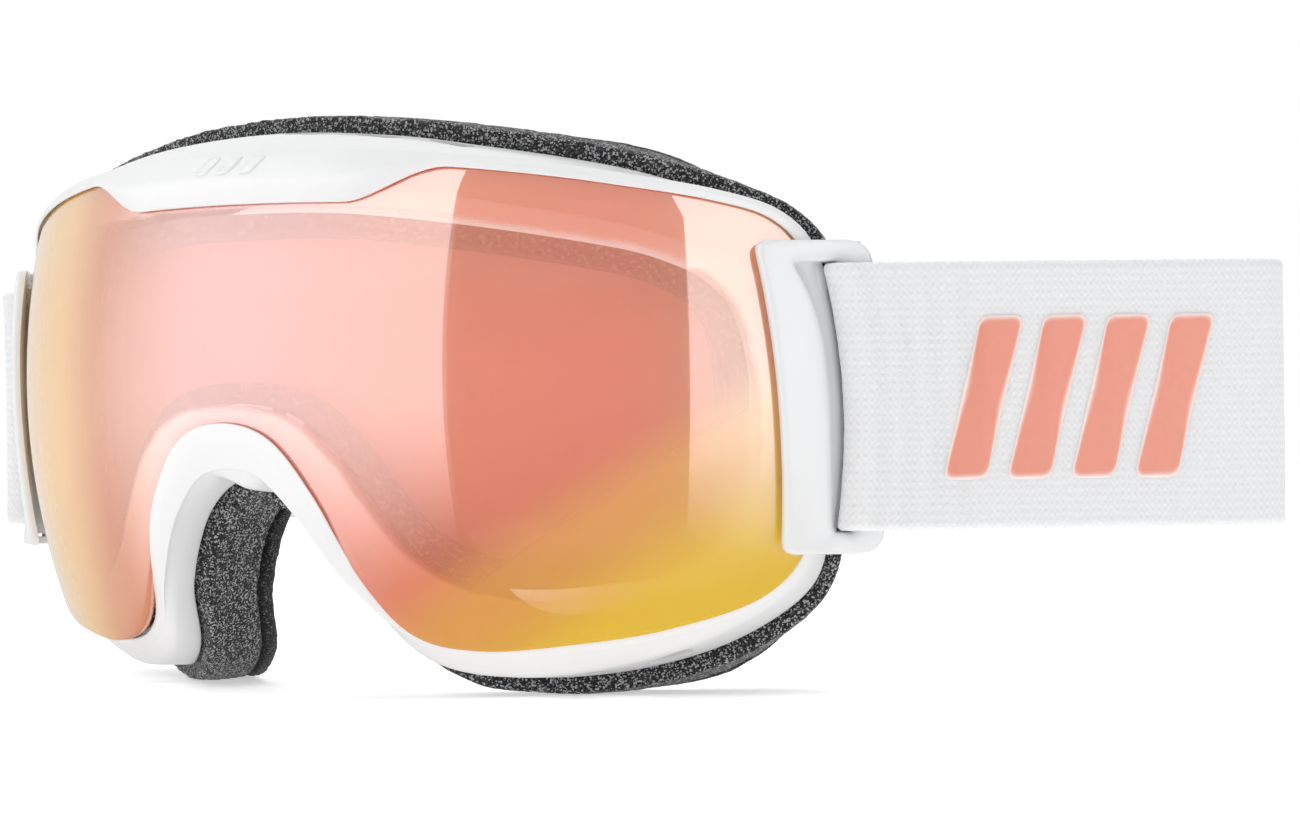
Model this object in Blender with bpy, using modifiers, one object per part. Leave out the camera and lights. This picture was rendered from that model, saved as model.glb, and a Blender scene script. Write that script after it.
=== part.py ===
"""Small-fit ski goggles: spherical double lens, soft frame, face foam, strap outriggers and elastic strap.

Built in metres with +Z up. The goggles face -Y, the wearer's left is +X.
The design frame has its origin at the front of the lens, on the lens's own equator.
At the end everything hangs on one empty that puts the bottom centre of the whole object at the world origin.
"""

import math

import bmesh
import bpy
from mathutils import Matrix, Vector

MM = 0.001

# Lens
LENS_RADIUS_ACROSS = 102.0
LENS_RADIUS_UPRIGHT = 120.0
LENS_HALF_WIDTH = 82.8
LENS_ABOVE = 32.4
LENS_BELOW = 42.8
OUTER_LENS_WALL = 2.0
INNER_LENS_WALL = 1.2
SPACER_WALL = 5.0
SPACER_WIDTH = 3.2
RIB_WIDTH = 1.6
RIB_LENGTH = 1.0

# Frame
FRAME_WALL = 1.8
FLANGE_WALL = 1.6
LIP_OVERLAP = 0.6
LIP_PROUD = 0.7
LEDGE_WIDTH = 3.0
LEDGE_WALL = 1.8
SEAL_WALL = 0.6
BROW_DROP = 5.8
BROW_FLAT_HALF = 21.0
BROW_END_HALF = 37.0
BROW_PROUD = 1.9
BROW_BEVEL = 2.8
VENT_SLOT = (8.0, 4.2)
VENT_FOAM_WALL = 3.0
VENT_FOAM_REACH = 2
TOP_VENT_XS = (7.0, 20.0, 33.0)
LOW_VENT_XS = (44.0, 56.0)

# Foam against the face
FOAM_OVERHANG = 2.6
FOAM_WIDTH = 11.0
FOAM_DEPTH = 12.0
FOAM_CORNER = 1.0
FOAM_GAP = 0.7
FLANGE_WIDTH = FOAM_WIDTH - FOAM_OVERHANG - FOAM_CORNER
LINING_DEPTH = 3.0
FOAM_LEAN = 0.7
FOAM_LEAN_FROM = 45.0
FOAM_LEAN_TO = 76.0

# Strap
STRAP_WIDTH = 40.0
STRAP_WALL = 1.8
STRAP_MIDDLE_Z = -4.7
STRAP_ANGLE = {1: 40.4, -1: 54.0}
LEFT_SIDE_RUN = 57.0
FOLD_RADIUS = 5.0
SEWN_TAIL = 13.0
WRAP_END_RUN = 20.0
WRAP_GAP = 0.6
SLIDER_X = 28.0
SLIDER_TRAVEL = 50.0
SLIDER_LENGTH = 15.0
SLIDER_BAR = 2.4
SLIDER_WALL = 1.6
SEWN_TAB = 14.0

# Outriggers
RIGGER_ANGLE = 48.0
RIGGER_START = (79.55, 33.22)
RIGGER_WALL = 1.8
RIGGER_ARM = 3.3
RIGGER_BAR = 2.6
RIGGER_BAR_FORWARD = 15.3
RIGGER_BAR_DROP = 1.4
RIGGER_STRAIGHT_FROM = 11.5
HINGE_FORWARD = 13.5
HINGE_EYE = 1.8
PIN_RADIUS = 0.8

CLEARANCE = 0.3
STATIONS = 96

# One row for each shaping point of the right half, from the top centre round the temple to the nose:
# x as a share of the lens's half width, z as a share of its height above or below the equator, then in mm
# the lip's width outside the lens, how far the rear flange stands out, and how far it lies behind the lens.
HALF_OUTLINE = (
    (0.000, 1.000, 1.5, 5.3, 12.1),
    (0.250, 0.991, 1.5, 4.4, 11.6),
    (0.431, 0.966, 1.5, 3.0, 10.8),
    (0.594, 0.917, 1.5, 2.2, 9.6),
    (0.716, 0.864, 1.4, 1.4, 8.4),
    (0.852, 0.788, 1.2, -0.4, 6.8),
    (0.937, 0.688, 1.0, -1.6, 5.6),
    (0.983, 0.478, 0.9, -2.0, 5.6),
    (1.000, 0.062, 0.9, -2.0, 6.0),
    (0.994, -0.304, 0.9, -1.8, 6.2),
    (0.964, -0.620, 1.0, -1.2, 7.0),
    (0.893, -0.816, 1.4, -0.4, 12.0),
    (0.755, -0.928, 1.8, 2.2, 17.5),
    (0.600, -0.981, 1.8, 4.2, 20.0),
    (0.457, -1.000, 1.8, 4.6, 17.0),
    (0.343, -0.944, 2.0, 4.4, 11.5),
    (0.263, -0.743, 2.6, 2.6, 8.0),
    (0.192, -0.449, 4.6, 3.4, 9.5),
    (0.108, -0.248, 6.0, 7.0, 11.6),
    (0.000, -0.190, 6.2, 10.3, 12.4),
)

# The inner lens and its spacer share one outline, in the same shares as above.
SPACER_HALF_OUTLINE = (
    (0.000, 0.780),
    (0.216, 0.769),
    (0.431, 0.710),
    (0.647, 0.617),
    (0.790, 0.519),
    (0.880, 0.346),
    (0.917, 0.031),
    (0.915, -0.280),
    (0.886, -0.549),
    (0.808, -0.724),
    (0.683, -0.780),
    (0.551, -0.794),
    (0.449, -0.752),
    (0.365, -0.643),
    (0.299, -0.467),
    (0.228, -0.278),
    (0.138, -0.150),
    (0.000, -0.110),
)
RIB_X_SHARES = (0.115, 0.180, 0.250)


# ---------------------------------------------------------------- scene, materials and mesh helpers


def clear_scene():
    for obj in list(bpy.data.objects):
        bpy.data.objects.remove(obj, do_unlink=True)


def new_collection(name):
    collection = bpy.data.collections.new(name)
    bpy.context.scene.collection.children.link(collection)
    return collection


def new_material(name, color, roughness, metallic=0.0):
    material = bpy.data.materials.new(name)
    material.use_nodes = True
    shader = material.node_tree.nodes["Principled BSDF"]
    shader.inputs["Base Color"].default_value = (*color, 1.0)
    shader.inputs["Roughness"].default_value = roughness
    shader.inputs["Metallic"].default_value = metallic
    return material


def new_object(name, points, faces, collection, material=None):
    """A mesh object from points in design millimetres. Its faces are turned to point outwards."""
    mesh = bpy.data.meshes.new(name)
    mesh.from_pydata([Vector(p) * MM for p in points], [], faces)
    work = bmesh.new()
    work.from_mesh(mesh)
    bmesh.ops.recalc_face_normals(work, faces=work.faces)
    work.to_mesh(mesh)
    work.free()
    obj = bpy.data.objects.new(name, mesh)
    collection.objects.link(obj)
    if material:
        mesh.materials.append(material)
        mesh.shade_smooth()
        mesh.set_sharp_from_angle(angle=math.radians(35.0))
    return obj


def split_quad(points, a, b, c, d):
    """Two triangles on the shorter diagonal, so that surfaces with equal outlines stay parallel."""
    first = (Vector(points[c]) - Vector(points[a])).length
    second = (Vector(points[d]) - Vector(points[b])).length
    if first <= second:
        return [(a, b, c), (a, c, d)]
    return [(a, b, d), (b, c, d)]


def loft(name, sections, collection, material=None, closed=True):
    """A solid through equal sections. It is a ring if closed, and has a flat cap at each end if not."""
    count = len(sections[0])
    points = [p for section in sections for p in section]
    faces = []
    last = len(sections) if closed else len(sections) - 1
    for i in range(last):
        here, there = i * count, (i + 1) % len(sections) * count
        for j in range(count):
            k = (j + 1) % count
            faces += split_quad(points, here + j, here + k, there + k, there + j)
    if not closed:
        faces.append(tuple(range(count)))
        faces.append(tuple(range(len(points) - count, len(points))))
    return new_object(name, points, faces, collection, material)


def boolean(obj, other, operation):
    modifier = obj.modifiers.new(operation.lower(), "BOOLEAN")
    modifier.operation = operation
    modifier.solver = "EXACT"
    modifier.object = other


def hide_tool(obj):
    obj.hide_render = True
    obj.display_type = "WIRE"


def box_points(corner, size, axes):
    """The eight corners of a box that starts at a corner and runs along three axes."""
    a, b, c = (Vector(axis) * length for axis, length in zip(axes, size))
    return [corner + a * i + b * j + c * k for i in (0, 1) for j in (0, 1) for k in (0, 1)]


BOX_FACES = ((0, 1, 3, 2), (4, 6, 7, 5), (0, 4, 5, 1), (2, 3, 7, 6), (0, 2, 6, 4), (1, 5, 7, 3))
UP = Vector((0.0, 0.0, 1.0))


# ---------------------------------------------------------------- lens surface and outlines


def upright_drop(z):
    """How far the lens falls back at a height, from its curve in the upright direction."""
    return LENS_RADIUS_UPRIGHT - math.sqrt(LENS_RADIUS_UPRIGHT**2 - z * z)


def lens_point(x, z, depth=0.0):
    """A point at a depth below the outer face of the lens, measured square to that face."""
    reach = LENS_RADIUS_ACROSS - upright_drop(z)
    back = math.sqrt(reach * reach - x * x)
    point = Vector((x, LENS_RADIUS_ACROSS - back, z))
    normal = Vector((x / reach, -back / reach, z / math.sqrt(LENS_RADIUS_UPRIGHT**2 - z * z)))
    return point - normal.normalized() * depth


def between(a, b, c, d, t):
    """Catmull-Rom value a share t of the way from b to c, led by the values before and after them."""
    return b + 0.5 * ((c - a) * t + (2 * a - 5 * b + 4 * c - d) * t**2 + (3 * b - a - 3 * c + d) * t**3)


def smooth_through(rows, step):
    """Catmull-Rom curve through rows of any width whose first and last rows lie on the mirror plane."""

    def mirrored(row):
        return (-row[0], *row[1:])

    knots = [mirrored(rows[1]), *rows, mirrored(rows[-2])]
    curve = []
    for before, start, end, after in zip(knots, knots[1:], knots[2:], knots[3:]):
        for i in range(step):
            t = i / step
            curve.append(tuple(between(*four, t) for four in zip(before, start, end, after)))
    curve.append(rows[-1])
    return curve


def evenly(curve, count):
    """The curve again, at equal distances in its first two columns."""
    far = [0.0]
    for a, b in zip(curve, curve[1:]):
        far.append(far[-1] + math.hypot(b[0] - a[0], b[1] - a[1]))
    even, i = [], 0
    for n in range(count + 1):
        want = far[-1] * n / count
        while i < len(curve) - 2 and far[i + 1] < want:
            i += 1
        t = (want - far[i]) / (far[i + 1] - far[i])
        even.append(tuple(p + (q - p) * t for p, q in zip(curve[i], curve[i + 1])))
    return even


def in_millimetres(rows):
    return [(r[0] * LENS_HALF_WIDTH, r[1] * (LENS_ABOVE if r[1] > 0 else LENS_BELOW), *r[2:]) for r in rows]


def whole_outline(rows, count):
    """Stations round the whole outline, each with its outward direction in the XZ plane as its last two values."""
    half = evenly(smooth_through(in_millimetres(rows), 12), count // 2)
    loop = half + [(-row[0], *row[1:]) for row in reversed(half[1:-1])]
    stations = []
    for i, row in enumerate(loop):
        before, after = loop[i - 1], loop[(i + 1) % len(loop)]
        along = Vector((after[0] - before[0], after[1] - before[1])).normalized()
        stations.append((*row, -along.y, along.x))
    return stations


def ease(value, start, end):
    """0 before start, 1 after end, smooth between."""
    t = min(1.0, max(0.0, (value - start) / (end - start)))
    return t * t * (3 - 2 * t)


LENS_STATIONS = whole_outline(HALF_OUTLINE, STATIONS)
SPACER_STATIONS = whole_outline(SPACER_HALF_OUTLINE, STATIONS)


def at_lens_edge(station, out, depth):
    """A point beside the lens's edge: so far outside it, and so deep below the lens's face."""
    x, z, nx, nz = station[0], station[1], station[-2], station[-1]
    return lens_point(x + out * nx, z + out * nz, depth)


def at_flange(station, out, back):
    """A point beside the frame's rear flange: so far outside its edge, and so far behind its rear face."""
    x, z, _, flange_out, flange_back, nx, nz = station
    reach = flange_out + out
    return Vector((x + reach * nx, lens_point(x, z).y + flange_back + back, z + reach * nz))


def brow_share(station):
    """1 on the flat middle of the brow bar, falling to 0 past its ends and everywhere below it."""
    return 0.0 if station[1] < 0 else 1.0 - ease(abs(station[0]), BROW_FLAT_HALF, BROW_END_HALF)


# ---------------------------------------------------------------- lenses and what lies between them


def lens_shell(name, outline, depth, wall, cells, material, parts, tools):
    """A curved lens: a grid on the lens surface, given a wall, kept only inside the outline."""
    across, up = cells
    margin = 1.045
    points = []
    for i in range(across + 1):
        for j in range(up + 1):
            x = LENS_HALF_WIDTH * margin * (2 * i / across - 1)
            low, high = -LENS_BELOW * margin, LENS_ABOVE * margin
            points.append(lens_point(x, low + (high - low) * j / up, depth))
    faces = []
    for i in range(across):
        for j in range(up):
            k = i * (up + 1) + j
            faces.append((k, k + up + 1, k + up + 2, k + 1))
    shell = new_object(name, points, faces, parts, material)
    if shell.data.polygons[len(shell.data.polygons) // 2].normal.y > 0:
        shell.data.flip_normals()
    solid = shell.modifiers.new("wall", "SOLIDIFY")
    solid.thickness = wall * MM
    solid.offset = -1.0
    solid.use_even_offset = True
    before, behind = depth - 2.0, depth + wall + 2.0
    front_plane, rear_plane = -30.0, 120.0
    sections = []
    for station in outline:
        near = at_lens_edge(station, 0.0, before)
        far = at_lens_edge(station, 0.0, behind)
        sections.append([(near.x, front_plane, near.z), near, far, (far.x, rear_plane, far.z)])
    cutter = capped_tube(f"{name}_outline", sections, tools)
    boolean(shell, cutter, "INTERSECT")
    return shell


def capped_tube(name, sections, collection):
    """A closed tube whose sections run along its length, with a flat end at each side."""
    count = len(sections[0])
    points = [p for section in sections for p in section]
    faces = []
    for i in range(len(sections)):
        here, there = i * count, (i + 1) % len(sections) * count
        for j in range(count - 1):
            faces.append((here + j, here + j + 1, there + j + 1, there + j))
    faces.append(tuple(i * count for i in range(len(sections))))
    faces.append(tuple(i * count + count - 1 for i in range(len(sections))))
    tube = new_object(name, points, faces, collection)
    hide_tool(tube)
    return tube


def make_spacer(material, parts, tools):
    """The dark gasket between the two lenses, with its vent ribs over the nose."""
    near = OUTER_LENS_WALL + CLEARANCE
    far = near + SPACER_WALL
    profile = ((0, near), (0, far), (-SPACER_WIDTH, far), (-SPACER_WIDTH, near))
    rings = [[at_lens_edge(s, out, depth) for out, depth in profile] for s in SPACER_STATIONS]
    ring = loft("lens_spacer", rings, parts, material)
    for side in (-1, 1):
        for number, share in enumerate(RIB_X_SHARES):
            x = side * share * LENS_HALF_WIDTH
            root = min((s for s in SPACER_STATIONS if s[1] < 0), key=lambda s: abs(s[0] - x))
            out = Vector((root[-2], root[-1]))
            across = Vector((-out.y, out.x)) * RIB_WIDTH / 2
            sections = []
            for end in (Vector(root[:2]) - out, Vector(root[:2]) + out * RIB_LENGTH):
                corners = [(end + across * turn, depth) for turn, depth in ((-1, near), (1, near), (1, far), (-1, far))]
                sections.append([lens_point(c.x, c.y, depth * 0.8 + (near + far) * 0.1) for c, depth in corners])
            rib = loft(f"rib_{number}_{side}", sections, tools, closed=False)
            hide_tool(rib)
            boolean(ring, rib, "UNION")
    return ring


def make_seal(material, parts):
    """The thin tape that beds the outer lens on the frame's ledge."""
    near = OUTER_LENS_WALL + CLEARANCE
    far = near + SEAL_WALL
    outer, inner = -CLEARANCE, -LEDGE_WIDTH + CLEARANCE
    profile = ((outer, near), (outer, far), (inner, far), (inner, near))
    sections = [[at_lens_edge(s, out, depth) for out, depth in profile] for s in LENS_STATIONS]
    return loft("lens_seal", sections, parts, material)


# ---------------------------------------------------------------- frame


SEAT_DEPTH = OUTER_LENS_WALL + SEAL_WALL + 2 * CLEARANCE
CREST_OUT_SHARE = 0.85
CREST_BACK_SHARE = 0.42


def crest(station, inset=0.0):
    """The corner where the frame's front face turns into its top, side or bottom wall."""
    x, z, lip, flange_out, flange_back, nx, nz = station
    out = lip + (flange_out - lip) * CREST_OUT_SHARE - inset
    back = lens_point(x, z).y + flange_back * CREST_BACK_SHARE
    return Vector((x + out * nx, max(back, at_lens_edge(station, lip, 0.0).y + 1.0) + inset * 0.6, z + out * nz))


def frame_section(station):
    """The frame cut square to its outline, round from the lip over the lens to the groove under it."""
    lip = station[2]
    brow = brow_share(station)
    over = LIP_OVERLAP + BROW_DROP * brow
    proud = LIP_PROUD + BROW_PROUD * brow
    bevel = min(over + lip * 0.5, 0.5 + BROW_BEVEL * brow + lip * 0.35 * (1 - brow))
    return [
        at_lens_edge(station, -over, -LIP_PROUD),
        at_lens_edge(station, bevel - over, -proud),
        at_lens_edge(station, lip, 0.3 - proud * 0.5),
        crest(station),
        at_flange(station, 0.0, -FLANGE_WALL),
        at_flange(station, 0.0, 0.0),
        at_flange(station, -FLANGE_WIDTH, 0.0),
        at_flange(station, -FLANGE_WIDTH, -FLANGE_WALL),
        at_flange(station, -FRAME_WALL, -FLANGE_WALL),
        crest(station, FRAME_WALL),
        at_lens_edge(station, -CLEARANCE, SEAT_DEPTH + LEDGE_WALL),
        at_lens_edge(station, -LEDGE_WIDTH, SEAT_DEPTH + LEDGE_WALL),
        at_lens_edge(station, -LEDGE_WIDTH, SEAT_DEPTH),
        at_lens_edge(station, CLEARANCE, SEAT_DEPTH),
        at_lens_edge(station, CLEARANCE, -CLEARANCE),
        at_lens_edge(station, -over, -CLEARANCE),
    ]


def nearest_station(x, above):
    """The index of the lens station nearest to an x, on the top or the bottom run."""
    best = [(abs(s[0] - x), i) for i, s in enumerate(LENS_STATIONS) if (s[1] > 0) == above]
    return min(best)[1]


def vent_places():
    """The stations of the slots in the top and bottom walls."""
    left = [nearest_station(x, True) for x in TOP_VENT_XS] + [nearest_station(x, False) for x in LOW_VENT_XS]
    return left + [-index for index in left]


def cut_vents(frame, tools):
    length, width = VENT_SLOT
    for number, index in enumerate(vent_places()):
        station = LENS_STATIONS[index]
        outward = Vector((station[-2], 0.0, station[-1]))
        run = outward.cross(Vector((0.0, 1.0, 0.0)))
        rear = at_flange(station, 0.0, -FLANGE_WALL)
        middle = (crest(station) + rear) / 2
        depth = min(width, (rear.y - crest(station).y) * 0.7)
        corner = middle - run * length / 2 - Vector((0, depth / 2, 0)) - outward * (FRAME_WALL + 2.0)
        points = box_points(corner, (length, depth, 2 * FRAME_WALL + 3.0), (run, (0, 1, 0), outward))
        cutter = new_object(f"vent_cutter_{number}", points, BOX_FACES, tools)
        hide_tool(cutter)
        boolean(frame, cutter, "DIFFERENCE")


def add_lugs(frame, tools):
    """Four lugs behind the lens's side edges, each with the hole that an outrigger's hinge pin stands in."""
    eye, depth = HINGE_EYE, hinge_depth()
    for side in (-1, 1):
        for level in (1, -1):
            low, high = lug_levels(level)
            station = min(LENS_STATIONS, key=lambda s: (s[0] - side * LENS_HALF_WIDTH) ** 2 + (s[1] - low) ** 2)
            wall = crest(station, FRAME_WALL * 0.6)
            rim = at_flange(station, -FRAME_WALL, -FLANGE_WALL * 0.4)
            plan = [
                rigger_point(HINGE_FORWARD - eye, 0.0, eye - depth, side),
                rigger_point(HINGE_FORWARD + eye, 0.0, eye - depth, side),
                rigger_point(HINGE_FORWARD + eye, 0.0, -eye - depth, side),
                rim,
                wall,
            ]
            lug = prism(f"lug_{side}_{level}", plan, low, high, tools)
            boolean(frame, lug, "UNION")
            bore = upright_rod(f"pin_bore_{side}_{level}", side, low - 1.0, high + 1.0, PIN_RADIUS + CLEARANCE, tools)
            hide_tool(bore)
            boolean(frame, bore, "DIFFERENCE")


def make_frame(material, parts, tools):
    frame = loft("main_frame", [frame_section(s) for s in LENS_STATIONS], parts, material)
    cut_vents(frame, tools)
    add_lugs(frame, tools)
    return frame


def vent_foam(name, first, last, material, parts):
    """A filter strip under the slots of one run of the frame's wall."""
    sections = []
    for index in range(first, last + 1):
        station = LENS_STATIONS[index % STATIONS]
        outward = Vector((station[-2], 0.0, station[-1]))
        front = crest(station) - outward * (FRAME_WALL + CLEARANCE) + Vector((0, 1.4, 0))
        rear = at_flange(station, -FRAME_WALL - CLEARANCE, -FLANGE_WALL - CLEARANCE)
        rear -= outward * max(0.0, (rear - front).dot(outward)) * 0.4
        sections.append([front, rear, rear - outward * VENT_FOAM_WALL, front - outward * VENT_FOAM_WALL])
    return loft(name, sections, parts, material, closed=False)


def make_vent_foams(material, parts):
    top_last = nearest_station(TOP_VENT_XS[-1], True) + VENT_FOAM_REACH
    vent_foam("top_vent_foam", -top_last, top_last, material, parts)
    ends = sorted(nearest_station(x, False) for x in LOW_VENT_XS)
    first, last = ends[0] - VENT_FOAM_REACH, ends[-1] + VENT_FOAM_REACH
    vent_foam("lower_vent_foam_left", first, last, material, parts)
    vent_foam("lower_vent_foam_right", -last, -first, material, parts)


# ---------------------------------------------------------------- foam


def leaning(station, point, back):
    """The point moved in towards the head, the more so the further back it is and the nearer to a temple."""
    share = ease(abs(station[0]), FOAM_LEAN_FROM, FOAM_LEAN_TO)
    return point - Vector((math.copysign(FOAM_LEAN * share * back, station[0]), 0.0, 0.0))


def foam_layer(name, front, depth, material, parts):
    """A ring of padding behind the flange, with its outer and inner corners rounded off."""
    corner = FOAM_CORNER
    rear = front + depth
    outer, inner = FOAM_OVERHANG, FOAM_OVERHANG - FOAM_WIDTH
    profile = (
        (outer - corner, front),
        (outer, front + corner),
        (outer, rear - corner),
        (outer - corner, rear),
        (0.0, rear),
        (inner + corner, rear),
        (inner, rear - corner),
        (inner, front + corner),
        (inner + corner, front),
        (0.0, front),
    )
    sections = [[leaning(s, at_flange(s, out, back), back) for out, back in profile] for s in LENS_STATIONS]
    return loft(name, sections, parts, material)


# ---------------------------------------------------------------- outriggers


def rigger_axes(side):
    angle = math.radians(RIGGER_ANGLE)
    forward = Vector((side * math.cos(angle), math.sin(angle), 0.0))
    outward = Vector((side * math.sin(angle), -math.cos(angle), 0.0))
    return forward, outward


def rigger_point(along, z, height, side):
    """A point on an outrigger: so far back from its front edge, at a height above its outer face.

    The front follows the lens's upright curve. From there the plate eases into a straight rear end.
    """
    forward, outward = rigger_axes(side)
    start = Vector((side * RIGGER_START[0], RIGGER_START[1], z))
    straight = ease(along, 0.0, RIGGER_STRAIGHT_FROM)
    drop = upright_drop(z) * (1 - straight) + RIGGER_BAR_DROP * straight
    return start + forward * along + outward * (height - drop)


def hinge_depth():
    """How far the hinge axis lies below the outrigger's outer face."""
    return RIGGER_WALL + CLEARANCE + HINGE_EYE


def rigger_top():
    return STRAP_MIDDLE_Z + STRAP_WIDTH / 2 + CLEARANCE + RIGGER_ARM


def rigger_bottom():
    return STRAP_MIDDLE_Z - STRAP_WIDTH / 2 - CLEARANCE - RIGGER_ARM


def arm_levels(level):
    """The lowest and highest z of the outrigger's upper arm, level 1, or its lower arm, level -1."""
    if level > 0:
        return rigger_top() - RIGGER_ARM, rigger_top()
    return rigger_bottom(), rigger_bottom() + RIGGER_ARM


def lug_levels(level):
    """The half of an arm's height, next to the strap, where the frame's lug lies."""
    low, high = arm_levels(level)
    middle = (low + high) / 2
    return (low, middle - CLEARANCE / 2) if level > 0 else (middle + CLEARANCE / 2, high)


def ear_levels(level):
    """The other half of an arm's height, where the outrigger's own ear lies."""
    low, high = arm_levels(level)
    middle = (low + high) / 2
    return (middle + CLEARANCE / 2, high) if level > 0 else (low, middle - CLEARANCE / 2)


def prism(name, plan, low, high, collection):
    """A hidden solid with a plan outline in the XY plane, standing between two heights."""
    sections = [[(p.x, p.y, z) for p in plan] for z in (low, high)]
    solid = loft(name, sections, collection, closed=False)
    hide_tool(solid)
    return solid


def rounded_quad(corners, radii, arc_steps, side_steps):
    """A closed loop round four corners, each with its own radius, with points along the straight sides too."""
    loop = []
    for i, (corner, radius) in enumerate(zip(corners, radii)):
        before, after = corners[i - 1], corners[(i + 1) % 4]
        to_before = (before - corner).normalized()
        to_after = (after - corner).normalized()
        half = to_before.angle(to_after) / 2
        cut = radius / math.tan(half)
        start, end = corner + to_before * cut, corner + to_after * cut
        for step in range(arc_steps + 1):
            t = step / arc_steps
            loop.append((1 - t) ** 2 * start + 2 * t * (1 - t) * corner + t * t * end)
        next_half = (before_angle(corners, (i + 1) % 4)) / 2
        next_start = after - to_after * (radii[(i + 1) % 4] / math.tan(next_half))
        loop += [end.lerp(next_start, s / side_steps) for s in range(1, side_steps)]
    return loop


def before_angle(corners, i):
    return (corners[i - 1] - corners[i]).angle(corners[(i + 1) % 4] - corners[i])


def upright_rod(name, side, low, high, radius, collection, material=None):
    """A round rod on an outrigger's hinge axis, between two heights."""
    middle = rigger_point(HINGE_FORWARD, 0.0, -hinge_depth(), side)
    circle = [(math.cos(t * math.pi / 8) * radius, math.sin(t * math.pi / 8) * radius) for t in range(16)]
    sections = [[(middle.x + dx, middle.y + dy, z) for dx, dy in circle] for z in (low, high)]
    return loft(name, sections, collection, material, closed=False)


def make_hinge_pins(material, parts):
    for side, side_name in ((1, "left"), (-1, "right")):
        for level, level_name in ((1, "upper"), (-1, "lower")):
            low, high = arm_levels(level)
            upright_rod(f"hinge_pin_{level_name}_{side_name}", side, low, high, PIN_RADIUS, parts, material)


def make_outrigger(name, side, material, parts, tools):
    """A strap bracket: a plate over the lens's side edge, a window for the strap, and the bar it loops round."""
    top, bottom = rigger_top(), rigger_bottom()
    rear = RIGGER_BAR_FORWARD + RIGGER_BAR
    window_top, window_bottom = top - RIGGER_ARM, bottom + RIGGER_ARM
    outer = [Vector(p) for p in ((-1.4, top), (rear - 1.2, top), (rear + 0.4, bottom), (2.8, bottom))]
    window = [
        Vector(p)
        for p in (
            (6.5, window_top),
            (RIGGER_BAR_FORWARD, window_top),
            (RIGGER_BAR_FORWARD, window_bottom),
            (10.2, window_bottom),
        )
    ]
    outer_loop = rounded_quad(outer, (1.8, 3.0, 3.0, 1.8), 4, 8)
    window_loop = rounded_quad(window, (1.0, 0.8, 0.8, 1.0), 4, 8)
    loops = ((0.0, -0.4), (0.16, 0.0), (0.7, -0.1), (1.0, -0.5))
    sections = []
    for edge, hole in zip(outer_loop, window_loop):
        line = [(edge.lerp(hole, share), height) for share, height in loops]
        outside = [rigger_point(p.x, p.y, height, side) for p, height in line]
        inside = [rigger_point(p.x, p.y, -RIGGER_WALL, side) for p, height in reversed(line)]
        sections.append(outside + inside)
    plate = loft(name, sections, parts, material)
    eye, depth = HINGE_EYE, hinge_depth()
    for level in (1, -1):
        low, high = ear_levels(level)
        corners = ((-eye, 0.5 - RIGGER_WALL), (eye, 0.5 - RIGGER_WALL), (eye, -depth - eye), (-eye, -depth - eye))
        plan = [rigger_point(HINGE_FORWARD + along, 0.0, height, side) for along, height in corners]
        boolean(plate, prism(f"{name}_ear_{level}", plan, low, high, tools), "UNION")
        bore = upright_rod(f"{name}_bore_{level}", side, low - 1.0, high + 1.0, PIN_RADIUS + CLEARANCE, tools)
        hide_tool(bore)
        boolean(plate, bore, "DIFFERENCE")
    return plate


# ---------------------------------------------------------------- strap and sliders


LAYER_GAP = STRAP_WALL + CLEARANCE
WRAP_RADIUS = math.hypot(RIGGER_BAR, RIGGER_WALL) / 2 + CLEARANCE + STRAP_WALL / 2


def strap_direction(side):
    """Along the strap's side run, and out of its outer face, as if on the wearer's left."""
    angle = math.radians(STRAP_ANGLE[side])
    run = Vector((math.cos(angle), math.sin(angle)))
    return run, Vector((run.y, -run.x))


def side_run_length(side):
    """How long a side run is. The two webs cross the back at one depth, so the steeper run is the shorter."""
    left, steep = math.radians(STRAP_ANGLE[1]), math.radians(STRAP_ANGLE[side])
    fold_gain = (WRAP_RADIUS - FOLD_RADIUS) * (math.cos(left) - math.cos(steep))
    return (LEFT_SIDE_RUN * math.sin(left) - fold_gain) / math.sin(steep)


def bar_middle():
    return rigger_point(RIGGER_BAR_FORWARD + RIGGER_BAR / 2, 0.0, -RIGGER_WALL / 2, 1).xy


def wrap_route(side):
    """The strap's middle line from its sewn tail, round the outrigger's bar, and a little way out."""
    run, outward = strap_direction(side)
    bar = bar_middle()
    outer_start = bar + outward * WRAP_RADIUS
    tail_side = outer_start - outward * LAYER_GAP
    route = [tail_side + run * (SEWN_TAIL + 4.0), tail_side + run * 6.0, bar - outward * WRAP_RADIUS + run * 1.5]
    for step in range(9):
        turn = math.pi * step / 8
        route.append(bar - outward * WRAP_RADIUS * math.cos(turn) - run * WRAP_RADIUS * math.sin(turn))
    return route + [outer_start + run * WRAP_END_RUN]


def fold_route(side):
    """The strap's middle line from the wrapped end out to the fold and round it, towards the back."""
    run, outward = strap_direction(side)
    outer_start = bar_middle() + outward * WRAP_RADIUS
    start = WRAP_END_RUN + WRAP_GAP
    length = side_run_length(side)
    route = [outer_start + run * (start + (length - start) * t / 3) for t in range(3)]
    fold_middle = outer_start + run * length - outward * FOLD_RADIUS
    first = math.radians(STRAP_ANGLE[side]) - math.pi / 2
    for step in range(9):
        turn = first + (math.pi / 2 - first) * step / 8
        route.append(fold_middle + FOLD_RADIUS * Vector((math.cos(turn), math.sin(turn))))
    return route


def rear_line():
    """Y of the middle of the strap where it crosses the back."""
    return fold_route(1)[-1].y


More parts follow.
